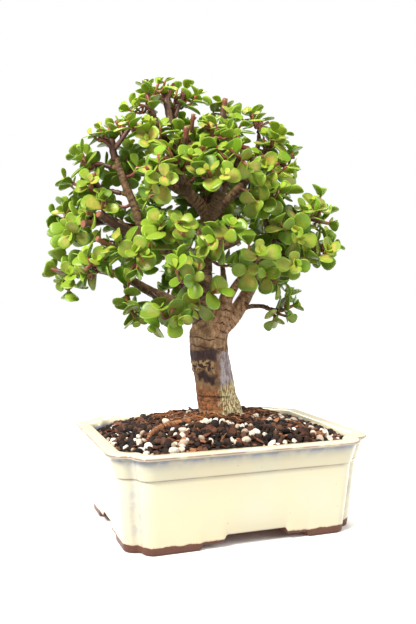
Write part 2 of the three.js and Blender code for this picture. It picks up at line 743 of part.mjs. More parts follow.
// The leafy shoots, each grown clear of the wood and of the shoots before it
const frames = {};
for (const [name, shoot] of Object.entries(shoots)) {
  frames[name] = shootFrame(shoot);
}
const wood = woodSamples(frames);
const placed = [];
const leafRandom = randomSource(7);
for (const [name, frame] of Object.entries(frames)) {
  const twigs = frame.tips.map((_, twig) => {
    const twigName = `${name} ${twig}`;
    // Twigs and leaves of the same shoot may come closer, as they are one body
    const keepsOff = (other, point, distance) => {
      const share = other.owner.startsWith(`${name} `) ? closeShare : 1;
      return other.owner === twigName || other.point.distanceTo(point) > share * distance;
    };
    const isClear = (leaf) =>
      leafSamples(leaf).every(
        (point) =>
          wood.every((other) => keepsOff(other, point, other.radius + clearOfWood)) &&
          placed.every((other) => keepsOff(other, point, clearOfLeaves)),
      );
    const rings = twigRings(frame, twig, Math.PI * leafRandom());
    const leaves = twigLeaves(rings, leafRandom, isClear);
    const spots = leaves.flatMap(leafSamples);
    placed.push(...spots.map((point) => ({ owner: twigName, point })));
    return leafyTwig(rings, leaves);
  });
  addMesh(treeGroup, name, wasm.Manifold.union(twigs), leafMaterial);
}
addMesh(treeGroup, "trunk_and_branches", makeTree(frames), bark);

// The pot, the soil with room for the trunk and roots, and the screens over the drain holes
const turnDegrees = [0, 0, THREE.MathUtils.radToDeg(treeTurn)];
const rootRoom = [limbTube(limbs.trunk, rootGap), ...rootTubes(rootGap)];
addMesh(bonsai, "pot", makePot(), glaze);
addMesh(bonsai, "soil", makeSoil(rootRoom.map((solid) => solid.rotate(turnDegrees))), soilMaterial);
for (const [name, x] of [
  ["drain_screen_left", -drainHoleX],
  ["drain_screen_right", drainHoleX],
]) {
  const screen = addMesh(bonsai, name, makeScreen(), screenMaterial);
  screen.position.set(x, 0, floorTop + seatGap + screenThickness / 2);
}

// The origin is the middle of the whole object's base
const box = new THREE.Box3().setFromObject(bonsai, true);
bonsai.position.set(-(box.min.x + box.max.x) / 2, -(box.min.y + box.max.y) / 2, 0);

export default bonsai;
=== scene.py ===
import math

import bpy
import numpy as np
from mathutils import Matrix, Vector, noise
from mathutils.kdtree import KDTree


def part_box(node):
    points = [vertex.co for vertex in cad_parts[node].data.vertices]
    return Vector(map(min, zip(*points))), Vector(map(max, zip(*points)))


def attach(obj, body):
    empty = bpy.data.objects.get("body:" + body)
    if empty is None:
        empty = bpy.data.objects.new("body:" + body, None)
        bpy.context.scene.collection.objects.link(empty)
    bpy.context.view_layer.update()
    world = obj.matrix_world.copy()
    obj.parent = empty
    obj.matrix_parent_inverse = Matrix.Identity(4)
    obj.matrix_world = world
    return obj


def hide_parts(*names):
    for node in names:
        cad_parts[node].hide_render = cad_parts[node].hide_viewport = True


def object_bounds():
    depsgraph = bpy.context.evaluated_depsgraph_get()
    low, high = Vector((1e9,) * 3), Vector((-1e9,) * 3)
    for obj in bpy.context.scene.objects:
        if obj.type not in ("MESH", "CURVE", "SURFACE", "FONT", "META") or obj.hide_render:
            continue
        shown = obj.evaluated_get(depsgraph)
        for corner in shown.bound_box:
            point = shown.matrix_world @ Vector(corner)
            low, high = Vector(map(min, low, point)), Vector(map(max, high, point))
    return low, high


# The looks of a dwarf jade bonsai in its pot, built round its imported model.
#
# Shapes are worked out in millimetres. The tree has a frame of its own, with X to the right and Y
# away when it is seen from its best side. The pot's frame has its middle at the origin and its foot
# at z = 0. Every piece ends in metres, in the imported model's frame.

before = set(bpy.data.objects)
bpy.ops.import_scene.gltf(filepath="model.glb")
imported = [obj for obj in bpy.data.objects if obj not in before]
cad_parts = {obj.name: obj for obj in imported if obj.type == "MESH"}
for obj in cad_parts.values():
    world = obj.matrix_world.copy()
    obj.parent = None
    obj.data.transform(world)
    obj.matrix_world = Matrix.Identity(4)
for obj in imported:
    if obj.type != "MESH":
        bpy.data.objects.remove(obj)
cad_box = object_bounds()

MM = 0.001
pot_low, pot_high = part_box("pot")
POT_MIDDLE = np.array([(pot_low.x + pot_high.x) / 2, (pot_low.y + pot_high.y) / 2, 0]) / MM
POT_LENGTH = (pot_high.x - pot_low.x) / MM
POT_DEPTH = (pot_high.y - pot_low.y) / MM
TREE_TURN = math.radians(-20)
CROWN_MIDDLE = np.array([-22, -5, 305])


# The tree's skeleton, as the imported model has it: points, radii at the points
LIMBS = {
    "trunk": (
        [(6, 16, 72), (5, 16, 92), (4, 16, 104), (1, 15, 116)]
        + [(-3, 13, 140), (-7, 11, 166), (-8, 10, 184), (-8, 9, 200)],
        [17, 25, 22, 20.5, 19.5, 19.5, 19.5, 10],
    ),
    "leader": (
        [(-10, 8, 178), (-13, 5, 206), (-13, 0, 251), (-12, -3, 275), (-6, -6, 306)],
        [15, 11, 9, 8.5, 7.5],
    ),
    "right_fork": ([(-3, 10, 176), (5, 10, 196), (10, 12, 219)], [14, 10.5, 7]),
    "right_upright": ([(9, 12, 212), (8, 14, 233), (6, 20, 256)], [5, 3.5, 2.6]),
    "right_inner": (
        [(9, 12, 212), (22, 5, 234), (38, -5, 249), (60, -10, 259), (86, -6, 265)],
        [5, 4, 3.8, 3.2, 2.6],
    ),
    "right_outer": (
        [(3, 12, 186), (20, 18, 203), (40, 27, 237), (53, 22, 259), (66, 11, 283), (84, 3, 294)],
        [10, 8, 6, 4.6, 4, 2.8],
    ),
    "low_twig": ([(20, 18, 203), (33, 14, 209), (46, 8, 210)], [3, 2.6, 2.4]),
    "left_main": (
        [(-13, 3, 224), (-26, -3, 246), (-40, -11, 260)]
        + [(-70, -25, 272), (-94, -32, 289), (-112, -32, 297)],
        [7.5, 7, 6.5, 6, 5, 3.5],
    ),
    "left_low": (
        [(-10, 6, 188), (-30, 0, 208), (-64, -20, 225)]
        + [(-86, -27, 238), (-106, -26, 244), (-124, -20, 246)],
        [7.5, 6, 5, 4.5, 3.6, 2.6],
    ),
    "left_spire": (
        [(-70, -25, 272), (-76, -29, 300), (-89, -28, 332), (-97, -20, 356)],
        [4.6, 4.3, 4, 2.8],
    ),
    "crown_left": (
        [(-8, -6, 298), (-17, -12, 310), (-29, -18, 323), (-47, -16, 366), (-58, -12, 388)],
        [7, 6.5, 6, 4, 2.6],
    ),
    "crown_top": ([(-34, -18, 332), (-42, -5, 368), (-45, 1, 388)], [4, 3.2, 2.4]),
    "centre_top": (
        [(-6, -5, 300), (0, 6, 335), (4, 13, 364), (7, 17, 390)],
        [5, 4, 3.3, 2.4],
    ),
    "front_stub": ([(-6, -8, 298), (4, -28, 319), (22, -56, 347)], [5.5, 5, 4]),
    "crown_right": (
        [(-5, -5, 298), (16, 2, 320), (36, 12, 344), (43, 18, 378)],
        [5.5, 4.8, 3.8, 2.4],
    ),
    "crown_right_low": ([(33, 10, 338), (46, 11, 342), (58, 9, 348)], [3.2, 2.8, 2.4]),
    "right_spire": ([(60, 17, 271), (49, -3, 291), (47, -17, 305)], [3.6, 3.2, 2.6]),
    "front_low": ([(-13, 2, 226), (-17, -40, 226), (-19, -74, 229)], [5, 4, 2.8]),
    "front_mid": ([(-12, -1, 253), (4, -34, 265), (18, -68, 270)], [4.6, 3.8, 2.8]),
    "front_left": ([(-40, -11, 260), (-48, -38, 258), (-62, -60, 255)], [4.4, 3.6, 2.8]),
    "front_up": ([(-29, -18, 322), (-35, -40, 318), (-40, -56, 319)], [4, 3.4, 2.8]),
    "back_left": ([(-38, -10, 259), (-52, 28, 281), (-72, 66, 296)], [5, 4.2, 3]),
    "back_low": ([(-13, 5, 206), (-20, 34, 222), (-28, 62, 232)], [5, 4.2, 3]),
    "back_right": ([(28, 21, 215), (42, 44, 236), (54, 66, 252)], [5, 4.2, 3]),
    "back_middle": ([(-13, 0, 249), (-4, 34, 274), (6, 66, 290)], [5, 4.2, 3]),
    "back_top": ([(-9, -5, 292), (-6, 22, 322), (-12, 52, 356)], [5, 4, 2.8]),
}
# The part of the surface root that lies on the soil
BARE_ROOT = (
    [(-4, 4, 100), (-16, -17, 101), (-33, -35, 101), (-50, -46, 99), (-59, -66, 97), (-63, -84, 93)],
    [4.5, 3.6, 3.4, 3.0, 2.6, 1.6],
)
SURFACE_ROOT = ([(2, 14, 99), (-30, -4, 99), (-56, -19, 91), (-64, -36, 82)], [7, 4.2, 3.4, 2.6])
FLARE_ROOTS = 6
FLARE_REACH = (8, 24, 42)
FLARE_HEIGHTS = (110, 91, 72)
FLARE_RADII = (8, 6, 3)

# The leafy shoots: the limb that carries each, how far along it, and the points it reaches
SHOOTS = {
    "crown_left_tip": ("crown_left", 1, [(-72, -5, 431), (-54, -20, 430), (-80, -22, 404)]),
    "crown_top_tip": ("crown_top", 1, [(-54, 6, 428), (-38, 8, 431), (-25, 3, 418)]),
    "crown_top_side": ("crown_top", 0.25, [(-26, 18, 398), (-14, 18, 376)]),
    "crown_front": ("crown_left", 0.72, [(-86, -30, 384), (-64, -52, 364)]),
    "centre_top_tip": ("centre_top", 1, [(2, 22, 422), (17, 22, 412)]),
    "centre_top_side": ("centre_top", 0.62, [(-12, -22, 388), (18, -18, 392)]),
    "crown_right_tip": ("crown_right", 1, [(42, 20, 412), (30, 6, 404), (58, 26, 400)]),
    "crown_right_side": ("crown_right", 0.76, [(74, 16, 388), (56, -12, 376)]),
    "right_shoulder_tip": ("crown_right_low", 1, [(80, 0, 344), (76, 12, 364)]),
    "right_shoulder": ("crown_right_low", 0.4, [(64, -26, 350), (44, -44, 342)]),
    "left_spire_tip": ("left_spire", 1, [(-106, -6, 390), (-90, -20, 390), (-118, -16, 378)]),
    "left_spire_upper": ("left_spire", 0.78, [(-142, -2, 360), (-136, -24, 350)]),
    "left_spire_lower": ("left_spire", 0.5, [(-154, -8, 336), (-136, 8, 322), (-122, -44, 328)]),
    "left_main_tip": ("left_main", 1, [(-163, -10, 300), (-150, -26, 284), (-160, 6, 278)]),
    "left_main_front": ("left_main", 0.84, [(-124, -62, 296), (-104, -62, 312)]),
    "left_low_tip": ("left_low", 1, [(-166, 0, 248), (-152, -26, 232)]),
    "left_low_front": ("left_low", 0.78, [(-126, -50, 238), (-108, -72, 256)]),
    "left_cluster": ("front_left", 1, [(-72, -94, 262), (-90, -84, 274), (-72, -84, 240)]),
    "left_hanging": ("left_low", 0.62, [(-84, -50, 210), (-74, -50, 194)]),
    "left_hanging_inner": ("left_low", 0.42, [(-44, -60, 204), (-32, -80, 198)]),
    "front_rosette": ("front_low", 1, [(-20, -112, 236), (-38, -98, 250)]),
    "front_rosette_low": ("front_low", 0.5, [(4, -84, 228), (-24, -78, 206)]),
    "front_middle": ("front_mid", 1, [(12, -96, 286), (-6, -102, 270)]),
    "front_right": ("right_inner", 0.42, [(38, -84, 262), (26, -70, 244)]),
    "front_left_upper": ("front_left", 0.5, [(-30, -92, 290), (-52, -82, 288)]),
    "front_high": ("front_up", 1, [(-66, -96, 336), (-46, -104, 324), (-62, -88, 312)]),
    "front_crown": ("front_up", 0.4, [(-46, -60, 358), (-22, -68, 350)]),
    "centre_rosette": ("front_stub", 0.5, [(-10, -90, 332), (6, -92, 328)]),
    "stub_rosette": ("front_stub", 1, [(6, -78, 354), (30, -82, 332)]),
    "stub_crown": ("front_stub", 0.86, [(8, -54, 380), (28, -50, 366)]),
    "right_spire_tip": ("right_spire", 1, [(48, -50, 320), (66, -26, 322), (32, -66, 306)]),
    "right_outer_tip": ("right_outer", 1, [(118, 0, 290), (104, -18, 306)]),
    "right_outer_front": ("right_outer", 0.8, [(84, -38, 304), (72, -52, 282)]),
    "right_inner_tip": ("right_inner", 1, [(122, 0, 272), (108, 18, 256), (112, -20, 266)]),
    "right_inner_front": ("right_inner", 0.7, [(74, -50, 250), (80, 4, 250)]),
    "right_inner_low": ("right_inner", 0.5, [(46, -56, 240), (62, -32, 228)]),
    "low_twig_tip": ("low_twig", 1, [(82, -6, 212), (74, -12, 198), (56, -18, 192)]),
    "back_left_tip": ("back_left", 1, [(-96, 82, 312), (-80, 98, 292)]),
    "back_left_side": ("back_left", 0.45, [(-112, 36, 302), (-118, 42, 276), (-96, 66, 262)]),
    "back_low_tip": ("back_low", 1, [(-40, 96, 232), (-14, 92, 244), (-62, 78, 226)]),
    "back_right_tip": ("back_right", 1, [(60, 98, 262), (84, 76, 268)]),
    "back_middle_tip": ("back_middle", 1, [(10, 100, 296), (-20, 98, 282), (36, 88, 310)]),
    "back_top_tip": ("back_top", 1, [(-12, 80, 366), (-40, 72, 352), (14, 76, 346)]),
    "back_top_crown": ("centre_top", 0.4, [(-14, 56, 388), (18, 54, 380), (-40, 48, 380)]),
    "back_right_crown": ("crown_right", 0.36, [(50, 62, 354), (72, 46, 366)]),
    "back_left_crown": ("left_spire", 0.62, [(-104, 26, 348), (-82, 34, 366)]),
}


def random_source(seed):
    """A repeatable random source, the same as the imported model's."""
    mask = 0xFFFFFFFF
    state = seed

    def draw():
        nonlocal state
        state = (state + 0x6D2B79F5) & mask
        t = ((state ^ (state >> 15)) * (1 | state)) & mask
        t = ((t + (((t ^ (t >> 7)) * (61 | t)) & mask)) & mask) ^ t
        return (t ^ (t >> 14)) / 4294967296

    return draw


def unit(vector):
    """Vectors of length 1, the same way as the given ones."""
    return vector / np.linalg.norm(vector, axis=-1, keepdims=True)


class Curve:
    """A smooth curve through its points: uniform Catmull-Rom, with its ends carried on straight."""

    def __init__(self, points):
        inner = np.asarray(points, float)
        first, last = 2 * inner[0] - inner[1], 2 * inner[-1] - inner[-2]
        self.points = np.vstack([first, inner, last])
        self.spans = len(inner) - 1
        self.steps = np.linspace(0, 1, 201)
        travel = np.linalg.norm(np.diff(self.at(self.steps), axis=0), axis=1)
        self.travel = np.concatenate([[0], np.cumsum(travel)])
        self.length = self.travel[-1]

    def at(self, t):
        """The point at t, from 0 at the curve's start to 1 at its end."""
        place = np.clip(np.asarray(t, float), 0, 1) * self.spans
        low = np.minimum(place.astype(int), self.spans - 1)
        share = (place - low)[..., None]
        before, start, end, after = (self.points[low + k] for k in range(4))
        leaving, arriving = (end - before) / 2, (after - start) / 2
        square = 3 * (end - start) - 2 * leaving - arriving
        cube = 2 * (start - end) + leaving + arriving
        return start + share * (leaving + share * (square + share * cube))

    def tangent(self, t):
        step = 1e-4
        return unit(self.at(np.minimum(t + step, 1)) - self.at(np.maximum(t - step, 0)))

    def place(self, distance):
        """The place t at a distance along the curve."""
        return np.interp(distance, self.travel, self.steps)


def taper(radii, t):
    """The radius at t, from radii that are spread evenly along a curve."""
    return np.interp(t, np.linspace(0, 1, len(radii)), radii)


def ring_frames(curve, places, first_turn=0.0):
    """A centre, tangent, side and other side at each place, carried along without a twist."""
    frames = []
    side = None
    for place in places:
        tangent = curve.tangent(place)
        if side is None:
            side = np.array([tangent[2], 0.3, -tangent[0]])
            side = unit(side - side.dot(tangent) * tangent)
            side = side * math.cos(first_turn) + np.cross(tangent, side) * math.sin(first_turn)
        side = unit(side - side.dot(tangent) * tangent)
        frames.append((curve.at(place), tangent, side, np.cross(tangent, side)))
    return frames


class Skin:
    """A mesh in the making: points, faces with a material, and named values at the points."""

    def __init__(self, **sizes):
        self.points, self.faces, self.materials = [], [], []
        self.sizes = sizes
        self.values = {name: [] for name in sizes}
        self.count = 0

    def add(self, points, faces, material=0, **values):
        """Adds a shape, with its values for each point or one for all of them."""
        points = np.asarray(points, float)
        self.points.append(points)
        self.faces.extend(tuple(corner + self.count for corner in face) for face in faces)
        self.materials.extend([material] * len(faces))
        self.count += len(points)
        for name, size in self.sizes.items():
            value = np.asarray(values.get(name, np.zeros(size)), float)
            self.values[name].append(np.broadcast_to(value, (len(points), size)))

    def make(self, name, materials, place=None):
        """The object, with its points moved by place into the part's frame."""
        points = np.vstack(self.points)
        points = place(points) if place else points
        mesh = bpy.data.meshes.new(name)
        mesh.from_pydata((points * MM).tolist(), [], self.faces)
        mesh.polygons.foreach_set("material_index", self.materials)
        mesh.polygons.foreach_set("use_smooth", [True] * len(self.faces))
        for value, chunks in self.values.items():
            set_values(mesh, value, np.vstack(chunks))
        mesh.update()
        thing = bpy.data.objects.new(name, mesh)
        bpy.context.scene.collection.objects.link(thing)
        for material in materials:
            mesh.materials.append(material)
        return thing


def from_pot(points):
    """Points of the pot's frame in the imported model's frame."""
    return points + POT_MIDDLE


def from_tree(points):
    """Points of the tree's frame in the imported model's frame."""
    cosine, sine = math.cos(TREE_TURN), math.sin(TREE_TURN)
    turn = np.array([[cosine, sine, 0], [-sine, cosine, 0], [0, 0, 1]])
    return points @ turn + POT_MIDDLE


def belongs(thing, slot, *nodes):
    """Says where a piece rides and hides the nodes it stands for; slot is not used."""
    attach(thing, "root")
    if nodes:
        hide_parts(*nodes)
    return thing


def ring_faces(rows, count):
    """The sides of a skin over closed rings, from the first ring to the last."""
    faces = []
    for row in range(rows - 1):
        for j in range(count):
            a, b = row * count + j, row * count + (j + 1) % count
            faces.append((a, b, b + count, a + count))
    return faces


def end_faces(rows, count, first, last):
    """Fans that close the first and the last ring, about the points with those numbers."""
    start = (rows - 1) * count
    faces = [(first, (j + 1) % count, j) for j in range(count)]
    return faces + [(last, start + j, start + (j + 1) % count) for j in range(count)]


def tube(frames, radii, sides, end_rise=0.5):
    """Points and faces of a closed tube over frames, with a domed end."""
    turns = np.linspace(0, 2 * math.pi, sides, endpoint=False)
    points = [
        centre + radius * (np.outer(np.cos(turns), side) + np.outer(np.sin(turns), other))
        for (centre, _, side, other), radius in zip(frames, radii)
    ]
    rows = len(frames)
    points.append(np.array([frames[0][0], frames[-1][0] + end_rise * radii[-1] * frames[-1][1]]))
    ends = end_faces(rows, sides, rows * sides, rows * sides + 1)
    return np.vstack(points), ring_faces(rows, sides) + ends


# Colours and materials
def colour(red, green, blue):
    """A colour given as it shows on a screen, from 0 to 255, as Blender's linear colour."""
    shares = (channel / 255 for channel in (red, green, blue))
    linear = [s / 12.92 if s <= 0.04045 else ((s + 0.055) / 1.055) ** 2.4 for s in shares]
    return (*linear, 1.0)


class Look:
    """A material in the making, round its Principled shader."""

    def __init__(self, name, **settings):
        self.material = bpy.data.materials.new(name)
        self.material.use_nodes = True
        self.nodes, self.links = self.material.node_tree.nodes, self.material.node_tree.links
        self.shader = self.nodes["Principled BSDF"]
        self.place = self.node("TexCoord").outputs["Object"]
        for label, value in settings.items():
            self.set(label, value)

    def set(self, label, value):
        """Gives the shader's input a value, or what another node puts out."""
        self.feed(self.shader.inputs[label.replace("_", " ")], value)

    def feed(self, socket, value):
        if isinstance(value, bpy.types.NodeSocket):
            self.links.new(value, socket)
        else:
            socket.default_value = value

    def node(self, kind, inputs=None, **settings):
        node = self.nodes.new("ShaderNode" + kind)
        for label, value in settings.items():
            setattr(node, label, value)
        for label, value in (inputs or {}).items():
            self.feed(node.inputs[label], value)
        return node

    def values(self, name):
        """The three values of a named layer of the mesh, and its fourth."""
        layer = self.node("Attribute", attribute_name=name)
        parts = self.node("SeparateXYZ", {"Vector": layer.outputs["Vector"]})
        return (*parts.outputs, layer.outputs["Alpha"])

    def math(self, operation, first, second=0.0):
        node = self.node("Math", operation=operation)
        self.feed(node.inputs[0], first)
        self.feed(node.inputs[1], second)
        return node.outputs[0]

    def between(self, value, low, high, to_low=0.0, to_high=1.0):
        """Value's smooth rise from to_low at low to to_high at high."""
        node = self.node("MapRange", interpolation_type="SMOOTHSTEP")
        for socket, given in zip(node.inputs, (value, low, high, to_low, to_high)):
            self.feed(socket, given)
        return node.outputs["Result"]

    def mix(self, share, first, second):
        node = self.node("Mix", data_type="RGBA")
        self.feed(node.inputs[0], share)
        self.feed(node.inputs[6], first)
        self.feed(node.inputs[7], second)
        return node.outputs[2]

    def noise(self, scale, detail=3.0, stretch=None, distortion=0.0):
        """Soft noise from about 0.3 to 0.7, finer as the scale is larger."""
        place = self.place
        if stretch:
            place = self.node("Mapping", {"Vector": place, "Scale": stretch}).outputs[0]
        given = {"Vector": place, "Scale": scale, "Detail": detail, "Distortion": distortion}
        return self.node("TexNoise", given).outputs["Fac"]

    def cells(self, scale):
        """How far each point is from the nearest of many scattered spots."""
        return self.node("TexVoronoi", {"Vector": self.place, "Scale": scale}).outputs["Distance"]

    def bump(self, height, strength, distance):
        given = {"Height": height, "Strength": strength, "Distance": distance}
        self.set("Normal", self.node("Bump", given).outputs["Normal"])


def leaf_look():
    """Fleshy leaves: deep green and painted shade inside the crown, yellow-green outside, with a golden
    blush.
    """
    look = Look(
        "jade_leaf",
        Roughness=0.36,
        Specular_IOR_Level=0.28,
        Subsurface_Weight=0.1,
        Subsurface_Scale=0.002,
        Coat_Weight=0.06,
        Coat_Roughness=0.2,
    )
    along, across, upper, _ = look.values("blade")
    tone, gold, sun_yellowing_and_shade, age = look.values("tint")
    deep = look.mix(tone, colour(42, 80, 8), colour(86, 126, 18))
    bright = look.mix(tone, colour(122, 162, 28), colour(168, 190, 58))
    # Yellow-green where a leaf is far out and high, partly its own sun-yellowing; deep green further in,
    # as painted shade.
    base = look.mix(sun_yellowing_and_shade, deep, bright)
    base = look.mix(look.math("MULTIPLY", age, 0.6), base, colour(170, 204, 54))
    patch = look.between(look.noise(160, 2), 0.3, 0.7, 0.6, 1.0)
    middle = look.between(look.math("ABSOLUTE", across), 0.45, 1.0, 1.0, 0.0)
    reach = look.between(along, 0.98, 0.6, 0.0, 1.0)
    blush = look.math("MULTIPLY", look.math("MULTIPLY", middle, reach), patch)
    blush = look.math("MULTIPLY", look.math("MULTIPLY", blush, gold), upper)
    base = look.mix(blush, base, colour(202, 178, 90))
    edge = look.between(look.math("ABSOLUTE", across), 0.8, 1.0)
    base = look.mix(look.math("MULTIPLY", edge, 0.6), base, colour(170, 208, 74))
    under = look.math("SUBTRACT", 1.0, upper)
    base = look.mix(look.math("MULTIPLY", under, 0.3), base, colour(128, 160, 58))
    mottle = look.between(look.noise(520, 3), 0.35, 0.7, 0.0, 0.22)
    base = look.mix(mottle, base, colour(70, 116, 40))
    specks = look.between(look.cells(1500), 0.12, 0.2, 0.35, 0.0)
    look.set("Base Color", look.mix(specks, base, colour(196, 214, 150)))
    look.bump(look.noise(900, 2), 0.25, 0.0004)
    return look.material


def stem_look():
    """Young stems: red at the bud, then red-brown to dark brown, with paler cut ends."""
    look = Look("young_stem", Roughness=0.45, Specular_IOR_Level=0.45)
    age, _, cut, _ = look.values("blade")
    base = look.mix(look.between(age, 0.0, 0.12), colour(190, 84, 70), colour(146, 110, 52))
    base = look.mix(look.between(age, 0.12, 0.35), base, colour(132, 66, 50))
    base = look.mix(look.between(age, 0.35, 0.8), base, colour(92, 62, 44))
    streaks = look.between(look.noise(420, 3), 0.4, 0.65, 0.0, 0.5)
    base = look.mix(streaks, base, colour(70, 44, 40))
    rind = look.mix(look.noise(900, 2), colour(176, 116, 84), colour(128, 66, 50))
    look.set("Base Color", look.mix(cut, base, rind))
    look.bump(look.noise(800, 3), 0.5, 0.0005)
    return look.material


def bark_look():
    """Bark: tan and ringed on the limbs; dark, scarred, with a painted sheen, and orange in turn on the
    trunk.
    """
    look = Look("bark", Roughness=0.68, Specular_IOR_Level=0.4)
    ring, slim, rings, _ = look.values("wood")
    _, _, crack, _ = look.values("zones")
    streaks = look.between(look.noise(110, 4, stretch=(3, 3, 1)), 0.4, 0.62)
    base = trunk_colours(look, limb_colours(look, slim, streaks), streaks)
    turns = look.math("FRACT", look.math("ADD", ring, look.math("MULTIPLY", look.noise(120, 2), 0.25)))
    away = look.math("ABSOLUTE", look.math("SUBTRACT", turns, 0.5))
    line = look.math("MULTIPLY", look.between(away, 0.38, 0.46), rings)
    deep = look.math("MAXIMUM", line, crack)
    # Ring creases and the crack are darkened: partly dark scars in the bark, partly painted shade in
    # them.
    base = look.mix(look.math("MULTIPLY", deep, 0.85), base, colour(52, 34, 28))
    fine = look.between(look.noise(700, 4), 0.42, 0.66, 0.0, 0.35)
    look.set("Base Color", look.mix(fine, base, colour(66, 46, 38)))
    rough = look.math("ADD", look.noise(480, 5), look.math("MULTIPLY", look.noise(1600, 3), 0.4))
    rough = look.math("SUBTRACT", rough, look.math("MULTIPLY", deep, 1.2))
    look.bump(rough, 0.8, 0.0012)
    return look.material


def limb_colours(look, slim, streaks):
    """Blotched bark with dark streaks, olive brown where it is slim, and a lighter tan on the fork,
    partly painted light.
    """
    _, tan, _, _ = look.values("roots")
    blotch = look.between(look.noise(75, 4, distortion=0.6), 0.35, 0.65)
    grain = look.between(look.noise(330, 4), 0.35, 0.65)
    base = look.mix(blotch, colour(208, 168, 124), colour(152, 114, 78))
    base = look.mix(look.math("MULTIPLY", streaks, 0.5), base, colour(98, 68, 50))
    base = look.mix(slim, base, look.mix(grain, colour(84, 68, 40), colour(126, 92, 58)))
    warm = look.mix(streaks, colour(236, 188, 146), colour(186, 136, 102))
    # The fork's lighter tan: partly its own colour, partly painted light where the crown shades it.
    return look.mix(look.math("MULTIPLY", tan, 0.85), base, warm)


def trunk_colours(look, base, streaks):
    """The trunk's marks over its bark, from the orange at its foot to the pale root hairs."""
    dark, scar, painted_sheen, _ = look.values("marks")
    orange, lilac, _, _ = look.values("zones")
    pale = look.values("roots")[0]
    grain = look.between(look.noise(330, 4), 0.35, 0.65)
    base = look.mix(orange, base, look.mix(grain, colour(186, 124, 76), colour(122, 78, 52)))
    base = look.mix(dark, base, look.mix(streaks, colour(46, 28, 28), colour(78, 54, 54)))
    fleck = look.between(look.noise(190, 4), 0.42, 0.56)
    base = look.mix(look.math("MULTIPLY", lilac, fleck), base, colour(196, 184, 196))
    # Painted sheen: lavender-white streaks on the trunk's right side stand in for light falling on it.
    base = look.mix(painted_sheen, base, look.mix(streaks, colour(190, 182, 190), colour(136, 118, 118)))
    knobs = look.between(look.noise(300, 3), 0.43, 0.55)
    base = look.mix(scar, base, look.mix(knobs, colour(226, 190, 142), colour(72, 46, 36)))
    hairs = look.between(look.noise(420, 3, stretch=(1.6, 1.6, 0.5)), 0.42, 0.58)
    return look.mix(pale, base, look.mix(hairs, colour(232, 222, 172), colour(140, 112, 70)))


def glaze_look():
    """Cream glaze: greyish blue where it pools and in painted shade, brown where it breaks, bare clay at
    the foot.
    """
    look = Look("cream_glaze", Specular_IOR_Level=0.5, Coat_Weight=0.35, Coat_Roughness=0.06)
    above, pooling_and_shade, thin, _ = look.values("glaze")
    drift = look.noise(26, 3)
    base = look.mix(drift, colour(247, 236, 194), colour(243, 232, 200))
    tinge = look.between(look.noise(14, 2), 0.45, 0.75, 0.0, 0.5)
    base = look.mix(tinge, base, colour(232, 236, 214))
    # Greyish blue under the lip and in the corners' hollows: partly the glaze's own pooling, partly
    # painted shade.
    wave = look.math("MULTIPLY", look.between(look.noise(90, 3), 0.3, 0.65, 0.35, 1.0), pooling_and_shade)
    base = look.mix(wave, base, colour(142, 152, 182))
    ragged = look.math("MULTIPLY", look.between(look.noise(60, 3), 0.35, 0.55, 0.55, 1.0), thin)
    base = look.mix(ragged, base, colour(124, 86, 84))
    pits = look.between(look.cells(75), 0.035, 0.06, 0.6, 0.0)
    base = look.mix(pits, base, colour(196, 176, 138))
    line = look.math("ADD", above, look.between(look.noise(120, 2), 0.2, 0.8, -0.8, 0.8))
    bare = look.between(line, 7.2, 7.8, 1.0, 0.0)
    clay = look.mix(look.noise(300, 4), colour(120, 70, 50), colour(86, 50, 38))
    lip = look.math("MULTIPLY", look.between(line, 7.8, 9.2, 1.0, 0.0), 0.5)
    base = look.mix(lip, base, colour(214, 190, 150))
    # Painted shade: the inside wall is painted a dark slate colour, the shade in the pot.
    base = look.mix(look.between(above, 70, 190), base, colour(112, 116, 124))
    look.set("Base Color", look.mix(bare, base, clay))
    look.set("Roughness", look.between(bare, 0.0, 1.0, 0.14, 0.85))
    grit = look.math("MULTIPLY", look.noise(1200, 3), bare)
    swell = look.math("MULTIPLY", look.noise(45, 2), 0.6)
    look.bump(look.math("ADD", grit, swell), 0.22, 0.0012)
    return look.material


# Each kind of grain: its shades from dark to light, how rough it is, and its pits
GRAIN_LOOKS = {
    "lava": ((14, 12, 12), (50, 34, 28), (112, 76, 56), 0.8, 800, 0.0006),
    "pumice": ((176, 156, 136), (232, 222, 206), (250, 246, 238), 0.9, 700, 0.0005),
    "bark_chips": ((52, 28, 18), (118, 70, 48), (186, 126, 88), 0.8, 600, 0.0006),
    "fibres": ((84, 50, 28), (140, 84, 46), (200, 140, 88), 0.8, 900, 0.0002),
}


def grain_look(name):
    """A loose grain of soil, each with a shade of its own."""
    *shades, rough, pits, pit_depth = GRAIN_LOOKS[name]
    dark, mid, light = (colour(*shade) for shade in shades)
    look = Look(name, Roughness=rough, Specular_IOR_Level=0.3)
    shade = look.values("grain")[0]
    base = look.mix(look.between(shade, 0.0, 0.6), dark, mid)
    base = look.mix(look.between(shade, 0.6, 1.0), base, light)
    mottle = look.between(look.noise(pits, 4), 0.4, 0.65, 0.0, 0.55)
    look.set("Base Color", look.mix(mottle, base, dark))
    look.bump(look.noise(pits * 1.5, 4), 0.9, pit_depth)
    return look.material


def plain_look(name, tint, rough, scale=400.0, depth=0.0003):
    """One colour with a fine grain."""
    look = Look(name, Roughness=rough, Specular_IOR_Level=0.4)
    darker = tuple(0.6 * channel for channel in tint[:3]) + (1.0,)
    look.set("Base Color", look.mix(look.noise(scale, 3), tint, darker))
    look.bump(look.noise(scale * 2, 3), 0.5, depth)
    return look.material


# The pot
LOBE_TURN = math.radians(80)
HOLLOW_RADIUS = 6
FOOT_HEIGHT = 11
SHELF_HEIGHT = 4.75
FRONT_GAP = (6, 54, 28)
SIDE_GAP = (0, 38, 16)
SQUASHED_BELOW = 26.0
DRAIN_HOLE_RADIUS = 9
DRAIN_HOLE_X = 60
FLOOR_TOP = 20

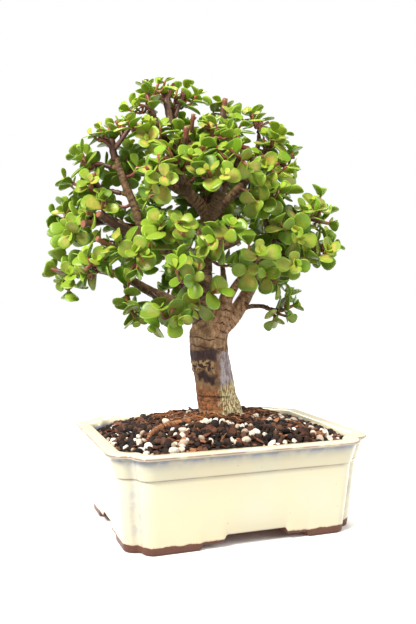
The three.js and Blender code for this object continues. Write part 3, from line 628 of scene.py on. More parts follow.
# Each level of the pot is an inset from the rim's outline, the size of the corner and a height.
# The outside runs from the foot to the lip, the inside from the lip to the floor.
SOLE = [(29.5, 20, 0), (26, 21, 0), (19, 23, 0), (17.2, 23.8, 0.2)]
OUTSIDE = (
    [(16.5, 24, 1.2), (16.3, 24.1, 3), (16, 24.2, 5), (15.8, 24.3, 7), (15.3, 24.5, 11)]
    + [(14.2, 25, 22), (13.1, 25.5, 33), (12, 26, 44), (10.8, 26.5, 56), (10, 26.9, 64)]
    + [(9.9, 27, 65.6), (9.6, 27.2, 66.2), (8.8, 28, 66.5), (8.2, 28.7, 66.8), (8, 29, 67.4)]
    + [(7.6, 29.2, 69), (6.2, 30.1, 74), (4.8, 31.1, 79), (4, 31.7, 82), (3.6, 32, 83.4)]
    + [(3, 32.3, 84.2), (1.6, 33.1, 84.8), (0.5, 33.7, 85.4), (0.1, 34, 86.2), (0.1, 34, 87)]
    + [(0.4, 34, 87.8), (1.1, 33.6, 88.5), (2.2, 33, 88.9), (4.5, 32, 89), (8, 30.3, 88.9)]
    + [(11, 29, 88.7), (12.4, 28.4, 88.4), (13.4, 27.9, 87.6), (14.2, 27.5, 86), (15, 27, 83)]
    + [(16.5, 26.4, 72), (19, 25.3, 54), (21.5, 24.2, 33), (23, 23.5, 27), (26, 22, 22)]
    + [(30, 20, 20)]
)
# Levels of the outside, counted from its first: the belt's thin glaze ends, the rim's line ends,
# and the inside wall starts
BELT_LEVELS, RIM_LEVELS, INSIDE_LEVEL = 24, 27, 36
# The mark the inside's levels get in place of a height: there the glaze is painted in shade.
INSIDE_SHADE_MARK = 200.0
LIP_HEIGHT = 85
LONG_STEPS = 150
SHORT_STEPS = 116
LOBE_STEPS = 9
HOLLOW_STEPS = 5


def pot_corner(corner):
    """One corner of the pot from its long side to its short side, its point at the origin."""
    sine, cosine = math.sin(LOBE_TURN), math.cos(LOBE_TURN)
    lobe = (corner - HOLLOW_RADIUS * (sine - cosine)) / (1 + sine - cosine)
    turns = np.linspace(0, LOBE_TURN, LOBE_STEPS + 1)
    half = np.column_stack([-corner + lobe * np.sin(turns), -lobe * (1 - np.cos(turns))])
    middle = np.array([-corner + (lobe + HOLLOW_RADIUS) * sine] * 2)
    turns = np.linspace(LOBE_TURN, math.pi / 4, HOLLOW_STEPS + 1)[1:]
    hollow = middle - HOLLOW_RADIUS * np.column_stack([np.sin(turns), np.cos(turns)])
    half = np.vstack([half, hollow])
    return np.vstack([half, half[-2::-1, ::-1]])


def pot_outline(inset, corner):
    """The pot's outline: a rectangle whose corners are two round lobes with a hollow between."""
    half_sides = np.array([POT_LENGTH / 2 - inset, POT_DEPTH / 2 - inset])
    half_length, half_depth = half_sides
    whole = pot_corner(corner)
    outline = []
    for sign_x, sign_y in ((1, 1), (-1, 1), (-1, -1), (1, -1)):
        points = np.array([sign_x, sign_y]) * (half_sides + whole)
        if sign_x == sign_y:
            along = np.linspace(1, -1, LONG_STEPS + 1)[1:-1] * (half_length - corner)
            side = np.column_stack([sign_x * along, np.full(len(along), sign_y * half_depth)])
            outline += [points[::-1], side]
        else:
            along = np.linspace(1, -1, SHORT_STEPS + 1)[1:-1] * (half_depth - corner)
            side = np.column_stack([np.full(len(along), sign_x * half_length), sign_y * along])
            outline += [points, side]
    return np.vstack(outline)


def smooth_step(value, low, high):
    """A smooth rise from 0 at low to 1 at high."""
    share = np.clip((value - low) / (high - low), 0, 1)
    return share * share * (3 - 2 * share)


def foot_line(outline):
    """The height of the pot's lower edge along its outline: feet, shelves and higher middles."""
    half_length, half_depth = outline[:, 0].max(), outline[:, 1].max()
    height = np.zeros(len(outline))
    for across, (middle, half_width, half_middle), wall in (
        (outline[:, 0], FRONT_GAP, np.abs(outline[:, 1]) > half_depth - 0.5),
        (outline[:, 1], SIDE_GAP, np.abs(outline[:, 0]) > half_length - 0.5),
    ):
        distance = np.abs(across - middle)
        shelf = SHELF_HEIGHT * (1 - smooth_step(distance, half_width - 3.5, half_width))
        rise = (FOOT_HEIGHT - SHELF_HEIGHT) * (1 - smooth_step(distance, half_middle, half_middle + 4.5))
        height = np.where(wall, np.maximum(height, shelf + rise), height)
    return height


def near(value, middle, reach):
    """A bump from 0 up to 1 at the middle."""
    return np.exp(-(((value - middle) / reach) ** 2))


def make_pot():
    """The glazed pot, with its drain holes and the values that its glaze is drawn from."""
    base = foot_line(pot_outline(16.5, 24))
    hollow_share = corner_hollow(pot_outline(8, 29))
    count = len(base)
    under = FOOT_HEIGHT + 0.5
    rings, values = [np.column_stack([pot_outline(30, 20), np.full(count, under)])], []
    for level, (inset, corner, height) in enumerate(SOLE + OUTSIDE, -len(SOLE)):
        squash = max(1 - height / SQUASHED_BELOW, 0) if level < INSIDE_LEVEL else 0
        top = height + base * squash
        outline = pot_outline(inset, corner)
        if level >= 0 and height < LIP_HEIGHT:
            outline = outline + unit(outline) * unevenness(outline, height)[:, None]
        rings.append(np.column_stack([outline, top]))
        values.append(glaze_values(level, height, top, hollow_share))
    points = np.vstack([*rings, [(0, 0, under), (0, 0, FLOOR_TOP)]])
    values = np.vstack([np.zeros((count, 3)), *values, [(0, 0, 0), (60, 0, 0)]])
    rows = len(rings)
    skin = Skin()
    skin.add(points, ring_faces(rows, count) + end_faces(rows, count, rows * count, rows * count + 1))
    pot = skin.make("glazed_pot", [glaze_look()], from_pot)
    drill(pot)
    set_values(pot.data, "glaze", values[nearest(from_pot(points), mesh_points(pot.data))])
    pot.data.set_sharp_from_angle(angle=math.radians(42))
    return belongs(pot, "glazed_pot", "pot")


def unevenness(outline, height):
    """How far the hand-finished wall stands out at each point."""
    return 0.12 * np.array([noise.noise(Vector((x / 30, y / 30, height / 18))) for x, y in outline])


def glaze_values(level, height, top, hollow_share):
    """Each point's height (with a mark for the inside's painted shade), how much the glaze pools and is
    painted in shade there, and how thin it runs.
    """
    even = np.ones(len(top))
    above = 0 if level < 0 else top if level < INSIDE_LEVEL else INSIDE_SHADE_MARK
    # Pooled glaze under the lip and down the corners' hollows, partly real and partly painted shade.
    pooling_and_shade = near(height, 83.4, 1.5) + 0.25 * near(height, 80.0, 2.5)
    pooling_and_shade = pooling_and_shade + hollow_share * (0.6 * near(height, 38, 26) + 0.3) * (height < 84)
    belt = 0.9 * near(height, 66.5, 0.55) + 0.9 * near(height, 85.0, 0.5)
    thin = belt * (level < BELT_LEVELS) + near(height, 87.2, 0.85) * (level < RIM_LEVELS)
    return np.column_stack([above * even, pooling_and_shade * even, thin * even])


def corner_hollow(outline):
    """How near each point of the outline is to a corner's hollow, from 0 to 1."""
    corners = (POT_LENGTH / 2 - 20) * np.array([1, 0]) + (POT_DEPTH / 2 - 20) * np.array([0, 1])
    distance = np.linalg.norm(np.abs(outline) - corners, axis=1)
    return np.exp(-((distance / 6.5) ** 2))


def drill(pot):
    """Cuts the two drain holes through the pot's floor."""
    for side in (-1, 1):
        x, y, _ = from_pot(np.array([side * DRAIN_HOLE_X, 0, 0])) * MM
        bpy.ops.mesh.primitive_cylinder_add(
            vertices=40, radius=DRAIN_HOLE_RADIUS * MM, depth=40 * MM, location=(x, y, FLOOR_TOP * MM)
        )
        cutter = bpy.context.object
        modifier = pot.modifiers.new("drain_hole", "BOOLEAN")
        modifier.operation, modifier.object, modifier.solver = "DIFFERENCE", cutter, "EXACT"
        apply_modifiers(pot)
        bpy.data.objects.remove(cutter)


def mesh_points(mesh):
    """The points of a mesh, in millimetres."""
    flat = np.empty(3 * len(mesh.vertices), np.float32)
    mesh.vertices.foreach_get("co", flat)
    return flat.reshape(-1, 3) / MM


def nearest(points, places):
    """For each place, the order of the point that is nearest to it."""
    tree = KDTree(len(points))
    for order, point in enumerate(points):
        tree.insert(point, order)
    tree.balance()
    return [tree.find(place)[1] for place in places]


def set_values(mesh, name, values):
    """Gives a mesh named values at its points: three of them each, or four."""
    kind, key = ("FLOAT_VECTOR", "vector") if values.shape[1] == 3 else ("FLOAT_COLOR", "color")
    layer = mesh.attributes.get(name) or mesh.attributes.new(name, kind, "POINT")
    layer.data.foreach_set(key, np.ascontiguousarray(values, np.float32).ravel())


def apply_modifiers(thing):
    """Makes the mesh what its modifiers show."""
    depsgraph = bpy.context.evaluated_depsgraph_get()
    shown = thing.evaluated_get(depsgraph)
    mesh = bpy.data.meshes.new_from_object(shown, preserve_all_data_layers=True, depsgraph=depsgraph)
    old = thing.data
    thing.modifiers.clear()
    thing.data = mesh
    bpy.data.meshes.remove(old)


# The tree's wood
VOXEL = 1.3
TUBE_STEP = 2.5


def flare_roots():
    """Short roots that flare all round the trunk's foot."""
    x, y, _ = LIMBS["trunk"][0][1]
    roots = []
    for i in range(FLARE_ROOTS):
        angle = 2 * math.pi * (i + 0.4 * math.sin(5 * i)) / FLARE_ROOTS
        out = [
            (x + distance * math.cos(angle), y + distance * math.sin(angle), height)
            for distance, height in zip(FLARE_REACH, FLARE_HEIGHTS)
        ]
        roots.append((out, list(FLARE_RADII)))
    return roots


def wood_tubes(shoots):
    """Every limb, root and spur as a curve with its radii."""
    tubes = [(Curve(points), radii) for points, radii in LIMBS.values()]
    tubes += [(Curve(points), radii) for points, radii in [SURFACE_ROOT, BARE_ROOT, *flare_roots()]]
    spurs = [(Curve([shoot.start, shoot.seat]), [2.7, 2.3]) for shoot in shoots.values()]
    return tubes + spurs


def make_wood(shoots, material):
    """The trunk, limbs, roots and spurs, grown together into one skin of bark."""
    skin = Skin()
    centres = []
    for curve, radii in wood_tubes(shoots):
        steps = max(int(curve.length / TUBE_STEP), 2)
        places = np.linspace(0, 1, steps + 1)
        sizes = taper(radii, places)
        sides = 20 if max(radii) > 8 else 12
        skin.add(*tube(ring_frames(curve, places), sizes, sides))
        centres += [(curve.at(t), size, curve.length * t) for t, size in zip(places, sizes)]
    wood = skin.make("bark", [material])
    remesh = wood.modifiers.new("one_skin", "REMESH")
    remesh.mode, remesh.voxel_size = "VOXEL", VOXEL * MM
    smoothing = wood.modifiers.new("soften", "SMOOTH")
    smoothing.factor, smoothing.iterations = 0.5, 5
    apply_modifiers(wood)
    mark_wood(wood.data, centres)
    return belongs(wood, "bark", "trunk_and_branches")


def waves(points, scale):
    """Smooth noise at each point, with its grain's size along each axis."""
    return np.array([noise.noise(Vector(point)) for point in points / scale])


def spread(value, low, full, fade, end):
    """A rise from 0 at low to 1 at full, and a fall from fade to 0 at end."""
    return smooth_step(value, low, full) * (1 - smooth_step(value, fade, end))


# What counts as trunk low down, where the roots' centres are nearer: about the axis, by height
TRUNK_AXIS, TRUNK_REACH, TRUNK_HEIGHTS, TRUNK_RADIUS = (4, 15), 28, (99, 150), 20.0
BARK_SWELLS, BARK_RIPPLES = (16, 16, 22), (5, 5, 7)
CRACK_HEIGHT = 119.5


def nearest_limb(points, centres):
    """The radius of the limb nearest to each point, and how far along that limb it lies."""
    order = nearest([centre for centre, _, _ in centres], points)
    size = np.array([centres[k][1] for k in order])
    along = np.array([centres[k][2] for k in order])
    x, y, z = points.T
    from_axis = np.hypot(x - TRUNK_AXIS[0], y - TRUNK_AXIS[1])
    low, high = TRUNK_HEIGHTS
    return np.where((from_axis < TRUNK_REACH) & (z > low) & (z < high), TRUNK_RADIUS, size), along


def trunk_marks(points, broad, fine):
    """How far each point lies in each of the trunk's marks, from 0 to 1."""
    x, _, z = points.T
    warp = z + 5 * broad + 2.5 * fine
    side = x + 5 * fine
    band = spread(warp, 153, 157, 177, 187) * (1 - smooth_step(side, 0, 5))
    under = spread(warp, 133, 136, 141, 145) * spread(side, -20, -17, -2, 2)
    ragged = (z - CRACK_HEIGHT - 0.8 * fine) / 0.8
    return {
        "dark": np.maximum(band, under),
        "scar": spread(warp, 143, 146, 154, 158) * spread(side, -27, -24, -5, 0),
        # Painted sheen on the trunk's right side, where light falls on it.
        "painted_sheen": smooth_step(side, 2, 6) * spread(z + 4 * fine, 128, 134, 168, 175),
        "pale": smooth_step(side, 1, 7) * spread(warp, 88, 96, 127, 137),
        # The fork's lighter tan, partly its own colour and partly painted light.
        "tan": spread(z, 176, 186, 232, 250) * smooth_step(x, -8, 0) * (1 - smooth_step(x, 26, 40)),
        "lilac": (1 - smooth_step(side, -18, -10)) * spread(warp, 164, 170, 186, 194),
        "orange": spread(warp, 102, 108, 126, 134) + 0.8 * spread(warp, 182, 186, 194, 200),
        "crack": np.exp(-(ragged**2)) * (1 - smooth_step(side, 10, 14)),
    }


def mark_wood(mesh, centres):
    """Swells and creases the bark, and says where it is ringed, dark, scarred and pale, and where a
    sheen is painted.
    """
    points = mesh_points(mesh)
    normals = np.empty(3 * len(points), np.float32)
    mesh.vertex_normals.foreach_get("vector", normals)
    size, along = nearest_limb(points, centres)
    _, y, z = points.T
    broad, fine = waves(points, BARK_SWELLS), waves(points, BARK_RIPPLES)
    trunk, front = smooth_step(size, 14.5, 17), 1 - smooth_step(y, 16, 24)
    ring = np.where(size > 14, z / 9, along / np.where(size > 6, 6.5, 4.5)) + 0.35 * broad + 0.12 * fine
    patch = waves(points + 40, (9, 9, 9))
    rings = smooth_step(patch, -0.6, -0.1) * (1 - trunk + 0.35 * trunk * (z < 122))
    crease = smooth_step(np.abs(ring - np.floor(ring) - 0.5) * 2, 0.75, 1.0) * rings
    marks = trunk_marks(points, broad, fine)
    swell = np.minimum(size / 18, 1) * (broad + 0.5 * fine) + 0.12 * fine
    swell = swell - 0.7 * crease * np.minimum(size / 7, 1) - 0.9 * trunk * marks["crack"]
    knobs = 1.6 * waves(points, (2.6, 2.6, 2.6)) + 0.5
    swell = swell + trunk * front * marks["scar"] * knobs
    moved = from_tree(points + normals.reshape(-1, 3) * swell[:, None]) * MM
    mesh.vertices.foreach_set("co", moved.astype(np.float32).ravel())
    slim = 1 - smooth_step(size, 3.5, 8)
    root = (1 - smooth_step(size, 6, 9)) * (1 - smooth_step(z, 106, 110))
    orange = np.maximum(marks["orange"] * trunk, root)
    shown = [marks[name] * (trunk * front) for name in ("dark", "scar", "painted_sheen")]
    set_values(mesh, "wood", np.column_stack([ring, slim, rings]))
    set_values(mesh, "marks", np.column_stack(shown))
    set_values(mesh, "roots", np.column_stack([marks["pale"] * trunk, marks["tan"], np.zeros(len(z))]))
    lilac = marks["lilac"] * trunk * front
    set_values(mesh, "zones", np.column_stack([orange, lilac, marks["crack"] * trunk]))
    mesh.polygons.foreach_set("use_smooth", [True] * len(mesh.polygons))
    mesh.update()


# The leafy shoots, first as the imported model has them
SHOOT_RADIUS, TWIG_RADIUS, SPUR_LENGTH = 2.2, 1.2, 3
FORK_SHARE, LEAF_REACH, SEAT_GAP = 0.38, 7, 0.3
LEAF_LENGTH, LEAF_DROOP, LEAF_BASE = 17, 0.06, 1.4
LEAF_PAIRS, PAIR_SPACING = 2, 9
PAIR_SCALE, PAIR_OPENING = (0.78, 1.05), (0.85, 1.15)
CLEAR_OF_LEAVES, CLEAR_OF_WOOD, CLOSE_SHARE = 4.6, 2, 0.7
FIRST_TWIG_RADII, TWIG_RADII, SPRIG_RADII, LIMB_SPRIG_RADII = (
    (2.3, 2.1, 1.8, 1.3),
    (1.7, 1.2),
    (1.3, 0.95),
    (1.8, 1.2),
)
LEAF_TRIES = ((0, 0), (0.4, 0), (-0.4, 0), (0, 0.4), (0, -0.4), (0.8, 0), (-0.8, 0))
LEAF_SPOTS = np.array(
    [(0.3, 0), (0.65, 0), (1.05, 0), (0.65, 0.36), (0.65, -0.36), (1.02, 0.2), (1.02, -0.2)]
)


class Shoot:
    """Where a shoot leaves its limb, where it is seated on its spur, its fork and its tips."""

    def __init__(self, limb, at, tips):
        points, radii = LIMBS[limb]
        curve = Curve(points)
        tips = np.asarray(tips, float)
        centre = tips.mean(axis=0)
        self.start = curve.at(at)
        self.direction = unit(centre - self.start)
        slant = np.linalg.norm(np.cross(curve.tangent(at), self.direction))
        clear = (taper(radii, at) + SPUR_LENGTH) / (max(slant, 0.55) if at < 1 else 1)
        self.seat = self.start + clear * self.direction
        reach = max(FORK_SHARE * np.linalg.norm(centre - self.start), clear + 3)
        self.fork = self.start + reach * self.direction
        self.tips = tips + LEAF_REACH * unit(self.fork - tips)

    def twig(self, order):
        """A twig's curve, from the fork to a tip; the first starts at the seat."""
        tip = self.tips[order]
        reach = np.linalg.norm(tip - self.fork)
        bend = self.fork + 0.45 * (tip - self.fork) + 0.12 * reach * self.direction
        bend[2] -= 0.06 * reach
        points = [self.fork, bend, tip]
        if order == 0:
            points.insert(0, self.seat + SEAT_GAP * self.direction)
        return Curve(points)


class Leaf:
    """A leaf's frame on its twig, with the shares and shades that its blade is made from."""

    def __init__(self, ring, angle, opening, length, age=0.0):
        self.root, tangent, side, other = ring
        outward = side * math.cos(angle) + other * math.sin(angle)
        self.axis = outward * math.sin(opening) + tangent * math.cos(opening)
        self.normal = tangent * math.sin(opening) - outward * math.cos(opening)
        self.across = np.cross(self.normal, self.axis)
        self.length = length
        self.age = age

    def at(self, along, sideways, up=0.0):
        """Points of the leaf, by shares of its length along and across it, and a height above it."""
        along, sideways, up = (np.asarray(value, float)[..., None] for value in (along, sideways, up))
        drop = up - LEAF_DROOP * self.length * along * along
        flat = self.length * (along * self.axis + sideways * self.across)
        return self.root + flat + drop * self.normal

    def face_up(self, share):
        """Rolls the leaf about its length, so that its face turns to the light above."""
        up = np.array([0, 0, 1]) - self.axis[2] * self.axis
        self.normal = unit(self.normal + share * up)
        self.across = np.cross(self.normal, self.axis)

    def spots(self):
        """The points of the leaf that are kept clear."""
        return self.at(LEAF_SPOTS[:, 0], LEAF_SPOTS[:, 1])


class Room:
    """What leaves keep clear of: points of wood and of leaves, each with a reach and an owner."""

    def __init__(self):
        self.points, self.reach = np.empty((0, 3)), np.empty(0)
        self.shoot, self.twig = np.empty(0, int), np.empty(0, int)

    def add(self, points, reach, shoot, twig):
        self.points = np.vstack([self.points, points])
        for name, value in (("reach", reach), ("shoot", shoot), ("twig", twig)):
            grown = np.concatenate([getattr(self, name), np.full(len(points), value)])
            setattr(self, name, grown)

    def around(self, centre, distance):
        """The part of the room within a distance of a point."""
        near_by = np.linalg.norm(self.points - centre, axis=1) < distance
        part = Room()
        part.points, part.reach = self.points[near_by], self.reach[near_by]
        part.shoot, part.twig = self.shoot[near_by], self.twig[near_by]
        return part

    def is_clear(self, spots, shoot, twig, share=1.0):
        """Whether spots keep clear of all but their own twig, and nearly so of their own shoot."""
        gaps = np.linalg.norm(spots[:, None] - self.points[None], axis=2)
        need = self.reach * np.where(self.shoot == shoot, CLOSE_SHARE, 1) * share
        return not np.any((gaps < need) & (self.twig != twig))


def limb_samples(curve, radii, room, shoot, twig):
    """Keeps leaves clear of a limb or twig, along all of it."""
    count = math.ceil(curve.length / 3)
    for place in np.linspace(0, 1, count + 1):
        room.add(curve.at(place)[None], taper(radii, place) + CLEAR_OF_WOOD, shoot, twig)


def first_leaves(shoots):
    """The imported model's leaves and twigs, made by its own rule and random draws."""
    room = Room()
    for points, radii in LIMBS.values():
        limb_samples(Curve(points), radii, room, -1, -1)
    twigs = []
    for order, shoot in enumerate(shoots.values()):
        limb_samples(Curve([shoot.start, shoot.seat]), [SHOOT_RADIUS] * 2, room, -1, -1)
        for tip in range(len(shoot.tips)):
            curve = shoot.twig(tip)
            number = len(twigs)
            twigs.append(Twig(order, number, curve, TWIG_RADII if tip else FIRST_TWIG_RADII))
            limb_samples(curve, [TWIG_RADIUS + 0.5] * 2, room, order, number)
    draw = random_source(7)
    for twig in twigs:
        twig.grow(draw, room)
    return twigs, room


class Twig:
    """A stem with leaves in opposite pairs, each turned a quarter from the last."""

    def __init__(self, shoot, number, curve, radii):
        self.shoot, self.number, self.curve, self.radii = shoot, number, curve, radii
        self.leaves = []
        self.turn = 0.0

    def ring_places(self):
        """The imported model's rings and its number of leaf pairs."""
        length = self.curve.length

        def from_tip(distance):
            return float(self.curve.place(max(1 - distance / length, 0.05) * length))

        pairs = LEAF_PAIRS if length > 2 * LEAF_BASE + LEAF_PAIRS * PAIR_SPACING * 0.7 else 1
        lowest = LEAF_BASE + (pairs - 1) * PAIR_SPACING
        places = [0, from_tip(lowest + 2 * LEAF_BASE)]
        fork = 1 / self.curve.spans
        if self.radii == FIRST_TWIG_RADII and fork < places[1] - 0.03:
            places.insert(1, fork)
        distance = lowest
        while distance > 0:
            places += [from_tip(distance), from_tip(max(distance - PAIR_SPACING / 2, 0))]
            distance -= PAIR_SPACING
        return places, pairs

    def grow(self, draw, room):
        """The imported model's leaves on this twig."""
        self.turn = math.pi * draw()
        places, pairs = self.ring_places()
        frames = ring_frames(self.curve, places, self.turn)
        near_by = room.around(self.curve.at(1.0), 60)
        for pair in range(pairs):
            ring = frames[len(frames) - 2 - 2 * pair]
            for corner in (1, 3) if pair % 2 else (0, 2):
                turn = math.pi * corner / 2 + 0.3 * (draw() - 0.5)
                length = LEAF_LENGTH * PAIR_SCALE[pair] * (0.85 + 0.3 * draw())
                opening = PAIR_OPENING[pair] + 0.3 * (draw() - 0.5)
                for more_turn, more_opening in LEAF_TRIES:
                    leaf = Leaf(ring, turn + more_turn, opening + more_opening, length)
                    if near_by.is_clear(leaf.spots(), self.shoot, self.number):
                        self.leaves.append(leaf)
                        break
        for leaf in self.leaves:
            room.add(leaf.spots(), CLEAR_OF_LEAVES, self.shoot, self.number)

    def frame_at(self, distance):
        """The ring frame at a distance back from the tip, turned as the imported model's."""
        place = self.curve.place(max(self.curve.length - distance, 0.1))
        places = np.linspace(0, float(place), 6)
        return ring_frames(self.curve, places, self.turn)[-1]


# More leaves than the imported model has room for: small ones at the tips, more pairs further
# down the twigs, and short sprigs on the sides of twigs and limbs
FILL_SHARE = 0.8
BOX_MARGIN = 2.0
CROWN_SHARE = 0.95
SPRIG_PLACES = (0.4, 0.72)
BACK_SPRIG_PLACES = (0.25, 0.45, 0.65, 0.85)
SPRIG_LENGTH, SPRIG_TRIES = (11, 19), 5
FEWEST_LEAVES, ENOUGH_LEAVES = 3, 5
GOLDEN_ANGLE = math.pi * (3 - math.sqrt(5))
BEHIND = 8
CROWN_LOW, CROWN_TALL = 190, 230

# The pairs of leaves that are added: how far from the tip, the quarter turn, the leaves' length,
# how far they open and how young they are
TWIG_PAIRS = (
    (-0.5, 1, 8.5, 0.5, 0.8),
    (19.4, 0, 17, 1.25, 0),
    (28.4, 1, 15, 1.35, 0),
    (37.4, 0, 14, 1.4, 0),
)
SPRIG_PAIRS = ((-0.5, 1, 9, 0.5, 0.9), (1.5, 0, 15, 0.85, 0.4), (8.0, 1, 18, 1.15, 0.1))
LIMB_SPRIG_PAIRS = ((-0.5, 1, 9, 0.5, 0.8), (1.5, 0, 15, 0.9, 0.2), (8.0, 1, 18, 1.2, 0))
LIMB_SPRIG_STEP, CLOSE_SPRIG_STEP = 26, 15
BARE_LIMBS = ("trunk", "leader", "right_fork")

# Where nothing is added, so that the limbs show: across, up, and how far back it reaches
CLEARINGS = (
    ((-12, 60), (150, 248), 30),
    ((-40, 32), (290, 326), -8),
    ((-108, -72), (268, 292), -38),
    ((-80, -12), (214, 240), -24),
    ((-100, -70), (306, 358), -30),
    ((-120, -88), (190, 236), 200),
    ((84, 120), (190, 250), 200),
)


class Crown:
    """The crown's outline: how far it reaches from its middle in any direction."""

    def __init__(self, twigs):
        spots = np.vstack([leaf.spots() for twig in twigs for leaf in twig.leaves])
        away = spots - CROWN_MIDDLE
        self.reach = np.linalg.norm(away, axis=1)
        self.directions = away / self.reach[:, None]
        self.low = np.array(cad_box[0]) / MM + BOX_MARGIN
        self.high = np.array(cad_box[1]) / MM - BOX_MARGIN

    def share(self, points):
        """How far out the points lie, as a share of the crown's reach there."""
        away = points - CROWN_MIDDLE
        distance = np.linalg.norm(away, axis=1)
        alike = (away / distance[:, None]) @ self.directions.T > math.cos(math.radians(16))
        reach = np.where(alike, self.reach, 0).max(axis=1)
        return distance / np.maximum(reach, 1)

    def holds(self, spots):
        """Whether a leaf's spots are within the crown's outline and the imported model's box."""
        placed = from_tree(spots)
        in_box = np.all(placed > self.low) and np.all(placed < self.high)
        return in_box and not self.in_clearing(spots) and self.share(spots).max() < CROWN_SHARE

    def in_clearing(self, spots):
        """Whether a leaf's spots are where the limbs show."""
        x, y, z = spots.T
        return any(
            np.any((x > left) & (x < right) & (z > low) & (z < high) & (y < back))
            for (left, right), (low, high), back in CLEARINGS
        )


# Twigs behind the crown's fork, by the shoot they belong to
BACK_TWIGS = (
    ("back_top_tip", [(-8, 0, 306), (-24, 26, 312), (-38, 52, 318)]),
    ("back_middle_tip", [(-6, 2, 302), (0, 34, 304), (4, 62, 314)]),
    ("back_right_crown", [(18, 4, 322), (34, 30, 318), (46, 54, 314)]),
    ("back_right_tip", [(42, 44, 236), (52, 52, 262), (50, 60, 292)]),
    ("back_left_tip", [(-52, 28, 281), (-56, 40, 300), (-62, 48, 322)]),
    ("back_top_crown", [(-4, 8, 318), (-14, 30, 334), (-20, 50, 346)]),
)


class Filler:
    """Adds leaves and sprigs where the crown has room for them, within its outline."""

    def __init__(self, twigs, room, shoots):
        self.crown = Crown(twigs)
        self.room = room
        self.twigs = list(twigs)
        self.names = list(shoots)
        self.starts = np.array([shoot.start for shoot in shoots.values()])
        self.draw = random_source(23)

    def fill(self):
        """All the twigs and sprigs, with their leaves."""
        for name, points in BACK_TWIGS:
            owner = self.names.index(name)
            twig = Twig(owner, len(self.twigs), Curve(points), FIRST_TWIG_RADII)
            limb_samples(twig.curve, [TWIG_RADIUS + 0.5] * 2, self.room, owner, twig.number)
            self.twigs.append(twig)
        grown = list(self.twigs)
        for twig in grown:
            self.add_leaves(twig)
        for twig in grown:
            behind = twig.curve.at(0.5)[1] > BEHIND
            for share in BACK_SPRIG_PLACES if behind else SPRIG_PLACES:
                self.add_sprig(twig, share)
        for name, (points, radii) in LIMBS.items():
            if name not in BARE_LIMBS:
                self.add_limb_sprigs(name, Curve(points), radii)
        return self.twigs

    def add_pair(self, twig, pair, near_by):
        """Adds a pair of leaves where there is room for it."""
        distance, quarter, length, opening, age = pair
        ring = twig.frame_at(distance)
        for corner in (quarter, quarter + 2):
            turn = math.pi * corner / 2 + 0.4 * (self.draw() - 0.5)
            size = length * (0.85 + 0.3 * self.draw())
            open_by = opening + 0.35 * (self.draw() - 0.5)
            for more_turn, more_opening in LEAF_TRIES:
                leaf = Leaf(ring, turn + more_turn, open_by + more_opening, size, age)
                spots = leaf.spots()
                if self.crown.holds(spots) and near_by.is_clear(spots, -2, twig.number, FILL_SHARE):
                    twig.leaves.append(leaf)
                    break

    def keep_clear(self, twig, leaves):
        """Makes later leaves keep clear of these."""
        for leaf in leaves:
            self.room.add(leaf.spots(), CLEAR_OF_LEAVES, twig.shoot, twig.number)

    def add_leaves(self, twig):
        """A small pair at the twig's tip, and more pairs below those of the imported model."""
        near_by = self.room.around(twig.curve.at(1.0), 70)
        already = len(twig.leaves)
        for pair in TWIG_PAIRS:
            if pair[0] < twig.curve.length - 4:
                self.add_pair(twig, pair, near_by)
        self.keep_clear(twig, twig.leaves[already:])

    def add_sprig(self, twig, share):
        """A short side stem, turned to where the most of its leaves have room."""
        centre, tangent, side, other = twig.frame_at(twig.curve.length * (1 - share))
        best = None
        near_by = self.room.around(centre, 60)
        length = SPRIG_LENGTH[0] + (SPRIG_LENGTH[1] - SPRIG_LENGTH[0]) * self.draw()
        first_turn = 2 * math.pi * self.draw()
        for attempt in range(SPRIG_TRIES):
            turn = first_turn + attempt * GOLDEN_ANGLE
            out = side * math.cos(turn) + other * math.sin(turn)
            end = centre + length * unit(0.8 * out + 0.4 * tangent + np.array([0, 0, 0.6]))
            bend = centre + 0.5 * length * unit(out + 0.15 * tangent)
            sprig = Twig(twig.shoot, len(self.twigs), Curve([centre, bend, end]), SPRIG_RADII)
            sprig.turn = math.pi * self.draw()
            for pair in SPRIG_PAIRS:
                self.add_pair(sprig, pair, near_by)
            if len(sprig.leaves) > (len(best.leaves) if best else FEWEST_LEAVES - 1):
                best = sprig
                if len(best.leaves) >= ENOUGH_LEAVES:
                    break
        if best:
            self.keep_clear(best, best.leaves)
            self.twigs.append(best)

    def add_limb_sprigs(self, name, curve, radii):
        """Short sprigs straight from a limb, between its shoots, given to the nearest shoot."""
        step = CLOSE_SPRIG_STEP if name.startswith(("back", "centre", "crown")) else LIMB_SPRIG_STEP
        for order in range(int((curve.length - 8) / step)):
            place = float(curve.place(12 + step * order))
            centre, tangent, side, other = ring_frames(curve, [0, place])[-1]
            size = taper(radii, place)
            turn = GOLDEN_ANGLE * order + 2 * self.draw()
            out = side * math.cos(turn) + other * math.sin(turn)
            end = centre + (size + 15) * unit(out + 0.4 * tangent)
            owner = int(np.argmin(np.linalg.norm(self.starts - centre, axis=1)))
            stem = Curve([centre, centre + (size + 6) * out, end])
            sprig = Twig(owner, len(self.twigs), stem, LIMB_SPRIG_RADII)
            sprig.turn = math.pi * self.draw()
            near_by = self.room.around(centre, 60)
            for pair in LIMB_SPRIG_PAIRS:
                self.add_pair(sprig, pair, near_by)
            if len(sprig.leaves) >= FEWEST_LEAVES:
                self.keep_clear(sprig, sprig.leaves)
                self.twigs.append(sprig)


